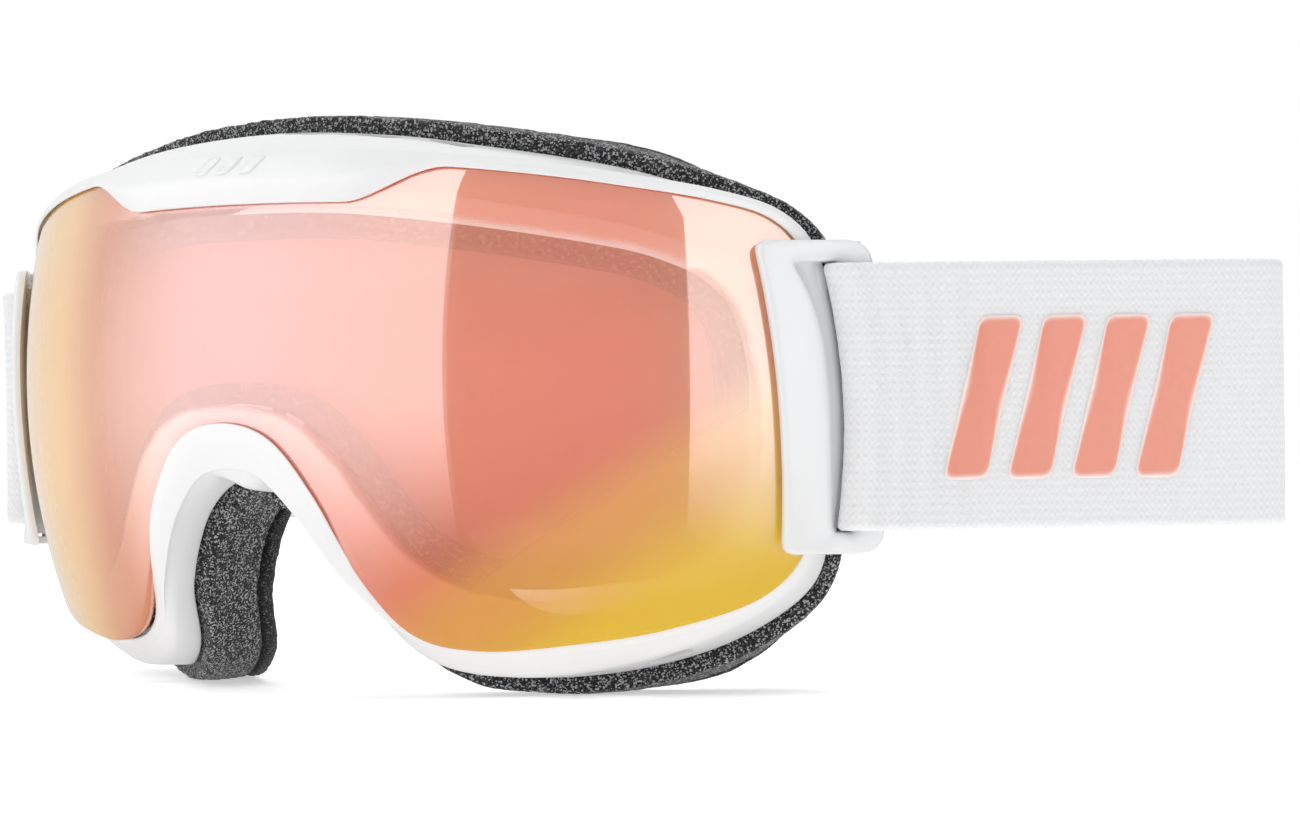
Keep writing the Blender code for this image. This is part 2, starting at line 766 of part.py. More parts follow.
def band(name, route, material, parts):
    """A flat elastic band of the strap's width, standing upright along a route in the XY plane."""
    sections = []
    half = STRAP_WIDTH / 2
    for i, point in enumerate(route):
        before, after = route[max(i - 1, 0)], route[min(i + 1, len(route) - 1)]
        along = (after - before).normalized()
        a = (point - before).normalized() if i else along
        stretch = 1.0 / max(0.7, a.dot(along))
        aside = Vector((-along.y, along.x)) * STRAP_WALL / 2 * stretch
        near, far = point - aside, point + aside
        corners = ((near, -half), (far, -half), (far, half), (near, half))
        sections.append([(p.x, p.y, STRAP_MIDDLE_Z + dz) for p, dz in corners])
    return loft(name, sections, parts, material, closed=False)


def make_straps(material, parts):
    """The left web crosses the back outside the right one. Each ends in a tab sewn round the far slider's bar."""
    rear = rear_line()
    for side, name, layer in ((1, "strap_left", LAYER_GAP / 2), (-1, "strap_right", -LAYER_GAP / 2)):
        band(f"{name}_wrap", [Vector((side * p.x, p.y)) for p in wrap_route(side)], material, parts)
        route = [Vector((side * p.x, p.y)) for p in fold_route(side)]
        step_x = route[-1].x - side * 14.0
        route += [Vector((step_x, rear + layer)), Vector((0.0, rear + layer))]
        tab_start = SLIDER_X - SEWN_TAB
        route.append(Vector((-side * (tab_start - CLEARANCE), rear + layer)))
        band(name, route, material, parts)
        make_sewn_end(f"{name}_sewn_end", side, layer, material, parts)


def slider_bar_y(layer):
    """Y of the slider bar that a web's end is sewn round. It lies on the side away from the other web."""
    away = 1 if layer > 0 else -1
    return rear_line() + layer + away * (STRAP_WALL / 2 + CLEARANCE + SLIDER_BAR / 2)


def make_sewn_end(name, side, layer, material, parts):
    rear = rear_line()
    away = 1 if layer > 0 else -1
    bar_y = slider_bar_y(layer)
    radius = abs(bar_y - rear - layer)
    start = SLIDER_X - SEWN_TAB
    route = [Vector((start, rear + layer)), Vector((SLIDER_X - 3.0, rear + layer))]
    for step in range(9):
        turn = math.pi * step / 8
        route.append(Vector((SLIDER_X + radius * math.sin(turn), bar_y - away * radius * math.cos(turn))))
    route.append(Vector((start + 2.0, bar_y + away * radius)))
    band(name, [Vector((-side * p.x, p.y)) for p in route], material, parts)


def make_slider(name, side, material, parts, tools):
    """A three-bar adjuster: one web runs between its bars, and the other web's end is sewn round the middle bar."""
    layer = LAYER_GAP / 2 if side > 0 else -LAYER_GAP / 2
    rear = rear_line()
    sewn_bar = slider_bar_y(-layer)
    away = 1 if layer > 0 else -1
    guide_inner = rear + layer + away * (STRAP_WALL / 2 + CLEARANCE)
    guide_outer = guide_inner + away * SLIDER_BAR * 0.7
    low_y, high_y = sorted((sewn_bar - away * SLIDER_BAR / 2, guide_outer))
    half = STRAP_WIDTH / 2 + CLEARANCE
    x_middle = side * SLIDER_X
    base = None
    for direction in (-1, 1):
        z = STRAP_MIDDLE_Z + (half if direction > 0 else -half - SLIDER_WALL)
        corner = Vector((x_middle - SLIDER_LENGTH / 2, low_y, z))
        rail = box_points(corner, (SLIDER_LENGTH, high_y - low_y, SLIDER_WALL), ((1, 0, 0), (0, 1, 0), UP))
        if base is None:
            base = new_object(name, rail, BOX_FACES, parts, material)
            continue
        upper = new_object(f"{name}_rail", rail, BOX_FACES, tools)
        hide_tool(upper)
        boolean(base, upper, "UNION")
    reach = half + SLIDER_WALL / 2
    guide_low = min(guide_inner, guide_outer)
    bars = [(x_middle - SLIDER_BAR / 2 + dx, guide_low, abs(guide_outer - guide_inner)) for dx in (-6.0, 6.0)]
    for number, (x, y, depth) in enumerate(bars):
        corner = Vector((x, y, STRAP_MIDDLE_Z - reach))
        points = box_points(corner, (SLIDER_BAR, depth, 2 * reach), ((1, 0, 0), (0, 1, 0), UP))
        bar = new_object(f"{name}_bar_{number}", points, BOX_FACES, tools)
        hide_tool(bar)
        boolean(base, bar, "UNION")
    plan = []
    for corner in range(12):
        turn = corner * math.pi / 6
        around = Vector((math.cos(turn), math.sin(turn))) * SLIDER_BAR / 2
        plan.append(Vector((x_middle, sewn_bar)) + around)
    bar = prism(f"{name}_sewn_bar", plan, STRAP_MIDDLE_Z - reach, STRAP_MIDDLE_Z + reach, tools)
    boolean(base, bar, "UNION")
    return base


# ---------------------------------------------------------------- the whole object


def stand_on_origin(parts, tools):
    """Hangs every part and cutter on one empty, placed so that the object's bottom centre is at the world origin."""
    bpy.context.view_layer.update()
    graph = bpy.context.evaluated_depsgraph_get()
    low, high = Vector((1e9,) * 3), Vector((-1e9,) * 3)
    for obj in parts.objects:
        mesh = obj.evaluated_get(graph).to_mesh()
        for vertex in mesh.vertices:
            low = Vector(map(min, low, vertex.co))
            high = Vector(map(max, high, vertex.co))
    datum = bpy.data.objects.new("goggles_datum", None)
    bpy.context.scene.collection.objects.link(datum)
    datum.location = (-(low.x + high.x) / 2, -(low.y + high.y) / 2, -low.z)
    for obj in (*parts.objects, *tools.objects):
        obj.parent = datum


def build():
    clear_scene()
    parts = new_collection("ski_goggles")
    tools = new_collection("cutters")
    white = new_material("frame_white", (0.86, 0.87, 0.88), 0.28)
    mirror = new_material("outer_lens_mirror", (0.93, 0.52, 0.42), 0.08, 0.3)
    clear = new_material("inner_lens_clear", (0.95, 0.93, 0.92), 0.08)
    spacer = new_material("spacer_grey", (0.16, 0.14, 0.15), 0.8)
    foam = new_material("foam_grey", (0.07, 0.07, 0.075), 0.95)
    fleece = new_material("lining_black", (0.02, 0.02, 0.022), 0.95)
    elastic = new_material("strap_white", (0.85, 0.86, 0.88), 0.9)
    trim = new_material("slider_white", (0.82, 0.83, 0.84), 0.4)
    steel = new_material("pin_steel", (0.62, 0.63, 0.65), 0.3, 1.0)

    lens_shell("outer_lens", LENS_STATIONS, 0.0, OUTER_LENS_WALL, (36, 18), mirror, parts, tools)
    inner_depth = OUTER_LENS_WALL + SPACER_WALL + 2 * CLEARANCE
    lens_shell("inner_lens", SPACER_STATIONS, inner_depth, INNER_LENS_WALL, (28, 14), clear, parts, tools)
    make_spacer(spacer, parts, tools)
    make_seal(spacer, parts)
    make_frame(white, parts, tools)
    make_vent_foams(foam, parts)
    foam_layer("face_foam", FOAM_GAP, FOAM_DEPTH, foam, parts)
    foam_layer("face_lining", 2 * FOAM_GAP + FOAM_DEPTH, LINING_DEPTH, fleece, parts)
    make_outrigger("outrigger_left", 1, white, parts, tools)
    make_outrigger("outrigger_right", -1, white, parts, tools)
    make_hinge_pins(steel, parts)
    make_straps(elastic, parts)
    make_slider("strap_slider_left", 1, trim, parts, tools)
    make_slider("strap_slider_right", -1, trim, parts, tools)
    stand_on_origin(parts, tools)


build()
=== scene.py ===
"""Ski goggles: a mirrored double lens in a white vented frame, with face foam,
hinged strap brackets and a knitted strap."""

import math

import bpy
import bmesh
import numpy as np
from mathutils import Matrix, Vector, geometry, noise

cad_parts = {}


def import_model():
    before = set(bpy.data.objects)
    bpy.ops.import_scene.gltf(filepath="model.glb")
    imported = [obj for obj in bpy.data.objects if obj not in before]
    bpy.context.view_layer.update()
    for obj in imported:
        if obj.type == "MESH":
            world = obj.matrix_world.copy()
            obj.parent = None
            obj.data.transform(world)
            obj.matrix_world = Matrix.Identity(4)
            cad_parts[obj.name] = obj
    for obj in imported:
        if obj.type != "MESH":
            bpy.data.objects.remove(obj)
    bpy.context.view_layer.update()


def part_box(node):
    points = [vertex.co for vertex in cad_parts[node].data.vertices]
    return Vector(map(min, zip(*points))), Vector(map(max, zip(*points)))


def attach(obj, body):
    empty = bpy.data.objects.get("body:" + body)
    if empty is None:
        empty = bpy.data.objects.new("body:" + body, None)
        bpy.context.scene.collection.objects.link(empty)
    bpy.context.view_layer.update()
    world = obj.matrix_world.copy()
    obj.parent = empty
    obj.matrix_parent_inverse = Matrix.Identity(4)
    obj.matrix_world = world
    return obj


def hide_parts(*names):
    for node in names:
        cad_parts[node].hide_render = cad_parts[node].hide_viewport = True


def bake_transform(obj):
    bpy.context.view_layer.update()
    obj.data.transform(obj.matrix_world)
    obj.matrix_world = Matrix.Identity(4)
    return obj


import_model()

# ---------------------------------------------------------------- sizes in mm, in the goggles' own frame

MM = 0.001
LENS_RADIUS_ACROSS = 102.0
LENS_RADIUS_UPRIGHT = 120.0
LENS_HALF_WIDTH = 82.8
LENS_ABOVE = 32.4
LENS_BELOW = 42.8
OUTER_LENS_WALL = 2.0
INNER_LENS_WALL = 1.2
SPACER_WALL = 5.0
SPACER_WIDTH = 3.2
CLEARANCE = 0.3
FRAME_WALL = 1.8
FLANGE_WALL = 1.6
FLANGE_WIDTH = 7.4
LIP_OVERLAP = 0.6
LIP_PROUD = 0.7
LEDGE_WIDTH = 3.0
LEDGE_WALL = 1.8
SEAL_WALL = 0.6
SEAT_DEPTH = OUTER_LENS_WALL + SEAL_WALL + 2 * CLEARANCE
BROW_DROP = 5.8
BROW_FLAT_HALF = 21.0
BROW_END_HALF = 37.0
BROW_PROUD = 1.9
BROW_BEVEL = 2.8
CREST_OUT_SHARE = 0.85
NOSE_SPAN = (17.0, 27.0)
CHEEK_SPAN = (6.0, 20.0)
RIM_GAP = 0.35
RIM_DEPTH = 1.9
CREST_BACK_SHARE = 0.42
VENT_SLOT = (8.0, 4.2)
TOP_VENT_XS = (7.0, 20.0, 33.0)
LOW_VENT_XS = (44.0, 56.0)
VENT_FOAM_WALL = 3
FOAM_GAP = 0.7
FOAM_OVERHANG = 2.6
FOAM_WIDTH = 11.0
FOAM_DEPTH = 12.0
LINING_DEPTH = 3.0
FOAM_LEAN = 0.7
FOAM_LEAN_SPAN = (45.0, 76.0)
STRAP_WIDTH = 40.0
STRAP_WALL = 1.8
STRAP_MIDDLE_Z = -4.7
# Sides are 1 for the wearer's left and -1 for the right.
SIDES = ((1, "left"), (-1, "right"))
STRAP_ANGLE = {1: math.radians(40.4), -1: math.radians(54.0)}
LEFT_SIDE_RUN = 57.0
FOLD_RADIUS = 5.0
SEWN_TAIL = 13.0
SLIDER_X = 28.0
SEWN_TAB = 14.0
SLIDER_BAR = 2.4
LAYER_GAP = STRAP_WALL + CLEARANCE
RIGGER_ANGLE = math.radians(48.0)
RIGGER_START = (79.55, 33.22)
RIGGER_WALL = 1.8
RIGGER_ARM = 3.3
RIGGER_BAR = 2.6
RIGGER_BAR_FORWARD = 15.3
RIGGER_BAR_DROP = 1.4
RIGGER_STRAIGHT_FROM = 11.5
HINGE_FORWARD = 13.5
HINGE_EYE = 1.8
PIN_RADIUS = 0.8
WRAP_RADIUS = math.hypot(RIGGER_BAR, RIGGER_WALL) / 2 + CLEARANCE + STRAP_WALL / 2

STATIONS = 384
FOAM_STATIONS = 704

# x and z as shares of the lens's half width and heights, then in mm
# the lip's width, and the flange's reach and depth.
HALF_OUTLINE = (
    (0.000, 1.000, 1.5, 5.3, 12.1),
    (0.250, 0.991, 1.5, 4.4, 11.6),
    (0.431, 0.966, 1.5, 3.0, 10.8),
    (0.594, 0.917, 1.5, 2.2, 9.6),
    (0.716, 0.864, 1.4, 1.4, 8.4),
    (0.852, 0.788, 1.2, -0.4, 6.8),
    (0.937, 0.688, 1.0, -1.6, 5.6),
    (0.983, 0.478, 0.9, -2.0, 5.6),
    (1.000, 0.062, 0.9, -2.0, 6.0),
    (0.994, -0.304, 0.9, -1.8, 6.2),
    (0.964, -0.620, 1.0, -1.2, 7.0),
    (0.893, -0.816, 1.4, -0.4, 12.0),
    (0.755, -0.928, 1.8, 2.2, 17.5),
    (0.600, -0.981, 1.8, 4.2, 20.0),
    (0.457, -1.000, 1.8, 4.6, 17.0),
    (0.343, -0.944, 2.0, 4.4, 11.5),
    (0.263, -0.743, 2.6, 2.6, 8.0),
    (0.192, -0.449, 4.6, 3.4, 9.5),
    (0.108, -0.248, 6.0, 7.0, 11.6),
    (0.000, -0.190, 6.2, 10.3, 12.4),
)
SPACER_HALF_OUTLINE = (
    (0.000, 0.780),
    (0.216, 0.769),
    (0.431, 0.710),
    (0.647, 0.617),
    (0.790, 0.519),
    (0.880, 0.346),
    (0.917, 0.031),
    (0.915, -0.280),
    (0.886, -0.549),
    (0.808, -0.724),
    (0.683, -0.780),
    (0.551, -0.794),
    (0.449, -0.752),
    (0.365, -0.643),
    (0.299, -0.467),
    (0.228, -0.278),
    (0.138, -0.150),
    (0.000, -0.110),
)

strap_low, strap_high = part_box("strap_left_wrap")
lens_low, lens_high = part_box("outer_lens")
middle_z = (strap_low.z + strap_high.z) / 2 - STRAP_MIDDLE_Z * MM
APEX = Vector(((lens_low.x + lens_high.x) / 2, lens_low.y, middle_z))


def world(point):
    """A point of the goggles' own frame, in the scene's, in metres."""
    return APEX + Vector(point) * MM


# ---------------------------------------------------------------- curves shared with the frame's shape


def upright_drop(z):
    return LENS_RADIUS_UPRIGHT - math.sqrt(LENS_RADIUS_UPRIGHT**2 - z * z)


def lens_point(x, z, depth=0.0):
    """A point at a depth below the outer face of the lens, measured square to that face."""
    reach = LENS_RADIUS_ACROSS - upright_drop(z)
    back = math.sqrt(reach * reach - x * x)
    normal = Vector((x / reach, -back / reach, z / math.sqrt(LENS_RADIUS_UPRIGHT**2 - z * z)))
    return Vector((x, LENS_RADIUS_ACROSS - back, z)) - normal.normalized() * depth


def between(a, b, c, d, t):
    """A share of the way from b to c, on the Catmull-Rom curve through all four."""
    return b + 0.5 * ((c - a) * t + (2 * a - 5 * b + 4 * c - d) * t**2 + (3 * b - a - 3 * c + d) * t**3)


def smooth_through(rows, step):
    """Catmull-Rom curve through rows whose first and last lie on the mirror plane."""
    knots = [(-rows[1][0], *rows[1][1:]), *rows, (-rows[-2][0], *rows[-2][1:])]
    curve = []
    for four in zip(knots, knots[1:], knots[2:], knots[3:]):
        for i in range(step):
            curve.append(tuple(between(*values, i / step) for values in zip(*four)))
    return curve + [rows[-1]]


def evenly(curve, count):
    """The curve again, at equal distances in its first two columns."""
    far = [0.0]
    for a, b in zip(curve, curve[1:]):
        far.append(far[-1] + math.hypot(b[0] - a[0], b[1] - a[1]))
    even, i = [], 0
    for n in range(count + 1):
        want = far[-1] * n / count
        while i < len(curve) - 2 and far[i + 1] < want:
            i += 1
        t = (want - far[i]) / (far[i + 1] - far[i])
        even.append(tuple(p + (q - p) * t for p, q in zip(curve[i], curve[i + 1])))
    return even


def whole_outline(rows, count):
    """Stations round the outline, each with its outward direction in the XZ plane as its last two values."""
    sized = []
    for x, z, *others in rows:
        sized.append((x * LENS_HALF_WIDTH, z * (LENS_ABOVE if z > 0 else LENS_BELOW), *others))
    half = evenly(smooth_through(sized, 40), count // 2)
    loop = half + [(-row[0], *row[1:]) for row in reversed(half[1:-1])]
    stations = []
    for i, row in enumerate(loop):
        before, after = loop[i - 1], loop[(i + 1) % len(loop)]
        along = Vector((after[0] - before[0], after[1] - before[1])).normalized()
        stations.append((*row, -along.y, along.x))
    return stations


def ease(value, start, end):
    t = min(1.0, max(0.0, (value - start) / (end - start)))
    return t * t * (3 - 2 * t)


LENS_STATIONS = whole_outline(HALF_OUTLINE, STATIONS)
SPACER_STATIONS = whole_outline(SPACER_HALF_OUTLINE, STATIONS)


def at_lens_edge(station, out, depth):
    """A point so far outside the lens's outline, and so far below its outer face."""
    return lens_point(station[0] + out * station[-2], station[1] + out * station[-1], depth)


def at_flange(station, out, back):
    """A point so far outside the rear flange, and so far behind its rear face."""
    x, z, _, flange_out, flange_back, nx, nz = station
    reach = flange_out + out
    return Vector((x + reach * nx, lens_point(x, z).y + flange_back + back, z + reach * nz))


def crest(station, inset=0.0):
    """The frame's outermost bend between its lip and its flange, or a point so far inside it."""
    x, z, lip, flange_out, flange_back, nx, nz = station
    out = lip + (flange_out - lip) * CREST_OUT_SHARE - inset
    back = lens_point(x, z).y + flange_back * CREST_BACK_SHARE
    back = max(back, at_lens_edge(station, lip, 0.0).y + 1.0)
    return Vector((x + out * nx, back + inset * 0.6, z + out * nz))


def brow_share(station):
    return 0.0 if station[1] < 0 else 1.0 - ease(abs(station[0]), BROW_FLAT_HALF, BROW_END_HALF)


def nose_share(station):
    return 0.0 if station[1] > 0 else 1.0 - ease(abs(station[0]), *NOSE_SPAN)


def cheek_share(station):
    """1 round the cheeks, where the lens's edge stands free of the frame, and 0 over the nose and above."""
    return ease(-station[1], *CHEEK_SPAN) * (1 - nose_share(station))


def grain(point, size, amount):
    """A small signed height that varies smoothly over a few tenths of a millimetre."""
    return noise.noise(Vector(point) / size) * amount


# ---------------------------------------------------------------- mesh helpers

SHARP_ANGLE = 40.0


def new_object(name, data):
    obj = bpy.data.objects.new(name, data)
    bpy.context.scene.collection.objects.link(obj)
    return obj


def new_piece(name, points, faces, material, sharp=SHARP_ANGLE):
    """A mesh object from points in the goggles' own frame, its faces turned outwards."""
    mesh = bpy.data.meshes.new(name)
    mesh.from_pydata([world(p) for p in points], [], faces)
    work = bmesh.new()
    work.from_mesh(mesh)
    bmesh.ops.recalc_face_normals(work, faces=work.faces)
    work.to_mesh(mesh)
    work.free()
    mesh.materials.append(material)
    mesh.shade_smooth()
    if sharp:
        mesh.set_sharp_from_angle(angle=math.radians(sharp))
    return new_object(name, mesh)


def ring_faces(here, there):
    """Faces between two rings of point numbers."""
    pairs = list(zip(here, there))
    return [(a, b, c, d) for (a, d), (b, c) in zip(pairs, pairs[1:] + pairs[:1])]


def loft_shape(sections, closed=True):
    """Points and faces of a solid through equal sections, as a ring or with a cap at each end."""
    count = len(sections[0])
    points = [p for section in sections for p in section]
    rings = [range(i * count, (i + 1) * count) for i in range(len(sections))]
    faces = []
    for here, there in zip(rings, rings[1:] + (rings[:1] if closed else [])):
        faces += ring_faces(here, there)
    if not closed:
        faces += [tuple(rings[0]), tuple(rings[-1])]
    return points, faces


def joined_shape(*shapes):
    """Several shapes' points and faces in one list of each."""
    points, faces = [], []
    for more_points, more_faces in shapes:
        faces += [tuple(i + len(points) for i in face) for face in more_faces]
        points += more_points
    return points, faces


def rounded(points, radii, steps=3):
    """A closed run of points with each corner rounded off."""
    loop = []
    for i, (corner, radius) in enumerate(zip(points, radii)):
        to_before, to_after = points[i - 1] - corner, points[(i + 1) % len(points)] - corner
        reach = min(radius, to_before.length * 0.45, to_after.length * 0.45)
        first = corner + to_before.normalized() * reach
        last = corner + to_after.normalized() * reach
        for t in (step / steps for step in range(steps + 1)):
            loop.append((1 - t) ** 2 * first + 2 * t * (1 - t) * corner + t * t * last)
    return loop


# ---------------------------------------------------------------- shader helpers

BLACK = (0.0, 0.0, 0.0)


def node(tree, kind, links=(), **settings):
    """A node with its properties and inputs set. A value is a constant, and a socket is linked."""
    made = tree.nodes.new(kind)
    for key, value in settings.items():
        setattr(made, key, value)
    for key, value in dict(links).items():
        if isinstance(value, bpy.types.NodeSocket):
            tree.links.new(value, made.inputs[key])
        else:
            made.inputs[key].default_value = value
    return made


def feed(tree, target, **sockets):
    """Link sockets to a node's inputs by their names."""
    for label, socket in sockets.items():
        tree.links.new(socket, target.inputs[label.replace("_", " ")])


def maths(tree, operation, *values):
    return node(tree, "ShaderNodeMath", enumerate(values), operation=operation).outputs[0]


def spread(tree, value, start, end, low=0.0, high=1.0, kind="LINEAR"):
    """A value mapped from one range to another, and held at its ends."""
    links = {0: value, 1: start, 2: end, 3: low, 4: high}
    return node(tree, "ShaderNodeMapRange", links, interpolation_type=kind).outputs[0]


def mixed(tree, factor, first, second):
    """A mix of two colours, each a socket or three numbers."""
    first, second = (c if isinstance(c, bpy.types.NodeSocket) else (*c, 1.0) for c in (first, second))
    return node(tree, "ShaderNodeMix", {0: factor, 6: first, 7: second}, data_type="RGBA").outputs[2]


def clouds(tree, place, scale, detail, **more):
    """Smooth noise from 0 to 1."""
    inputs = {"Vector": place, "Scale": scale, "Detail": detail, **more}
    return node(tree, "ShaderNodeTexNoise", inputs).outputs["Fac"]


def ramp(tree, factor, stops, interpolation="LINEAR"):
    made = node(tree, "ShaderNodeValToRGB", {0: factor})
    made.color_ramp.interpolation = interpolation
    elements = made.color_ramp.elements
    while len(elements) < len(stops):
        elements.new(0.5)
    for element, (place, color) in zip(elements, stops):
        element.position = place
        element.color = (*color, 1.0)
    return made.outputs["Color"]


def new_group(name, outputs, **numbers):
    """A shader group with a vector input, number inputs with their defaults, and named outputs."""
    group = bpy.data.node_groups.new(name, "ShaderNodeTree")
    group.interface.new_socket(name="Vector", in_out="INPUT", socket_type="NodeSocketVector")
    for label, value in numbers.items():
        item = group.interface.new_socket(name=label, in_out="INPUT", socket_type="NodeSocketFloat")
        item.default_value = value
    for label in outputs:
        kind = "NodeSocketColor" if label == "Color" else "NodeSocketFloat"
        group.interface.new_socket(name=label, in_out="OUTPUT", socket_type=kind)
    return group, group.nodes.new("NodeGroupInput"), group.nodes.new("NodeGroupOutput")


# ---------------------------------------------------------------- shared shader groups

FOAM_GREYS = (
    (0.0, (0.010, 0.010, 0.011)),
    (0.70, (0.022, 0.022, 0.023)),
    (0.92, (0.09, 0.09, 0.093)),
    (1.0, (0.40, 0.40, 0.41)),
)


def make_speckle_group():
    """Open-cell foam: a dark ground with pale flecks, and a height for the cells."""
    group, start, end = new_group("foam_speckle", ("Color", "Height"), Grain=3600.0, Amount=0.5)
    place = start.outputs["Vector"]
    cells = node(group, "ShaderNodeTexVoronoi", {"Vector": place, "Scale": start.outputs["Grain"]})
    chance = node(group, "ShaderNodeSeparateColor", {0: cells.outputs["Color"]}).outputs[0]
    lift = maths(group, "MULTIPLY", clouds(group, place, 900.0, 3.0), start.outputs["Amount"])
    total = maths(group, "ADD", chance, lift)
    feed(group, end, Color=ramp(group, total, FOAM_GREYS), Height=total)
    return group


def make_knit_group():
    """Knitted elastic on a strap's own UV, in metres along and across: loops, cross lines and fuzz."""
    group, start, end = new_group("knit", ("Shade", "Height"), Loop=0.0009, Fuzz=0.6)
    place = node(group, "ShaderNodeSeparateXYZ", {0: start.outputs["Vector"]})
    waves = []
    for output, factor in zip(place.outputs, (1.0, 1.35)):
        share = maths(group, "DIVIDE", output, start.outputs["Loop"])
        waves.append(maths(group, "SINE", maths(group, "MULTIPLY", share, math.tau / factor)))
    fuzz = clouds(group, start.outputs["Vector"], 1900.0, 4.0, Roughness=0.7)
    fine = maths(group, "MULTIPLY", fuzz, start.outputs["Fuzz"])
    looped = maths(group, "MULTIPLY_ADD", maths(group, "MULTIPLY", *waves), 0.10, fine)
    lined = maths(group, "MULTIPLY_ADD", waves[1], 0.06, looped)
    feed(group, end, Height=lined, Shade=spread(group, lined, 0.0, 0.7, 0.80, 1.0))
    return group


def make_moulded_group():
    """Moulded plastic: faint flow marks, and a very fine texture from the tool."""
    group, start, end = new_group("moulded", ("Shade", "Roughness", "Height"), Grain=5200.0)
    place = start.outputs["Vector"]
    flow = clouds(group, place, 45.0, 2.0)
    shade = spread(group, flow, 0.3, 0.7, 0.97, 1.0)
    rough = spread(group, flow, 0.3, 0.7, 0.30, 0.38)
    feed(group, end, Shade=shade, Roughness=rough, Height=clouds(group, place, start.outputs["Grain"], 2.0))
    return group


SPECKLE = make_speckle_group()
KNIT = make_knit_group()
MOULDED = make_moulded_group()


# ---------------------------------------------------------------- materials


def new_material(name, color, roughness, **inputs):
    """A material, its tree, its shader, and its coordinate node."""
    material = bpy.data.materials.new(name)
    material.use_nodes = True
    tree = material.node_tree
    shader = tree.nodes["Principled BSDF"]
    shader.inputs["Base Color"].default_value = (*color, 1.0)
    shader.inputs["Roughness"].default_value = roughness
    for key, value in inputs.items():
        shader.inputs[key.replace("_", " ")].default_value = value
    return material, tree, shader, tree.nodes.new("ShaderNodeTexCoord")


def from_group(tree, group, **links):
    """The outputs of a shared group in this tree."""
    return node(tree, "ShaderNodeGroup", links, node_tree=group).outputs


def add_bump(tree, shader, height, distance, strength):
    bump = node(tree, "ShaderNodeBump", {"Height": height, "Distance": distance, "Strength": strength})
    feed(tree, shader, Normal=bump.outputs[0])


def plastic(name, color, coat=0.25):
    material, tree, shader, place = new_material(name, color, 0.34, Coat_Weight=coat, Coat_Roughness=0.12)
    marks = from_group(tree, MOULDED, Vector=place.outputs["Object"])
    feed(tree, shader, Base_Color=mixed(tree, marks["Shade"], BLACK, color), Roughness=marks["Roughness"])
    add_bump(tree, shader, marks["Height"], 0.00002, 0.5)
    return material


def foam(name, grain_scale, amount, brightness=1.0):
    material, tree, shader, place = new_material(
        name, (0.05, 0.05, 0.05), 0.95, Sheen_Weight=0.15, Specular_IOR_Level=0.2
    )
    cells = from_group(tree, SPECKLE, Vector=place.outputs["Object"], Grain=grain_scale, Amount=amount)
    feed(tree, shader, Base_Color=mixed(tree, brightness, (0.01, 0.01, 0.01), cells["Color"]))
    add_bump(tree, shader, cells["Height"], 0.0002, 0.8)
    return material


def knitted(name, color):
    material, tree, shader, place = new_material(name, color, 0.9, Sheen_Weight=0.25, Sheen_Roughness=0.5)
    knit = from_group(tree, KNIT, Vector=place.outputs["UV"])
    feed(tree, shader, Base_Color=mixed(tree, knit["Shade"], BLACK, color))
    add_bump(tree, shader, knit["Height"], 0.00035, 0.75)
    return material


def printed(name, color, edge_color):
    """Raised rubber print, paler where its edges round over."""
    material, tree, shader, place = new_material(name, color, 0.3, Coat_Weight=0.4, Coat_Roughness=0.15)
    edge = node(tree, "ShaderNodeAttribute", attribute_name="edge").outputs["Fac"]
    mottle = clouds(tree, place.outputs["Object"], 700.0, 3.0)
    soft = mixed(tree, mottle, color, [c * 0.9 for c in color])
    feed(tree, shader, Base_Color=mixed(tree, edge, soft, edge_color))
    add_bump(tree, shader, mottle, 0.00005, 0.5)
    return material


# Across the lens, from the wearer's right to the left: the mirror's own red, with painted reflection colour,
# the shift of colour that the coating's reflection shows as the angle changes across the lens.
MIRROR_TINTS = (
    (0.0, (0.88, 0.53, 0.14)),
    (0.20, (0.92, 0.50, 0.09)),
    (0.34, (0.92, 0.34, 0.17)),
    (0.48, (0.97, 0.34, 0.28)),
    (0.72, (1.0, 0.27, 0.12)),
    (0.86, (1.0, 0.25, 0.12)),
    (1.0, (0.96, 0.42, 0.20)),
)
# Painted reflection: the yellow shown low on the lens's outer edge, and how it spreads along a slant.
REFLECTION_YELLOW = (1.0, 0.62, 0.0)
YELLOW_SHARES = ((0.0, BLACK), (0.70, BLACK), (0.80, (0.5, 0.5, 0.5)), (0.92, (1.0, 1.0, 1.0)))
TINT_REACH = 0.083
YELLOW_FROM, YELLOW_TO, YELLOW_SLANT = -0.04, 0.09, 0.7
CLEAREST, FULLEST = 0.43, 0.93


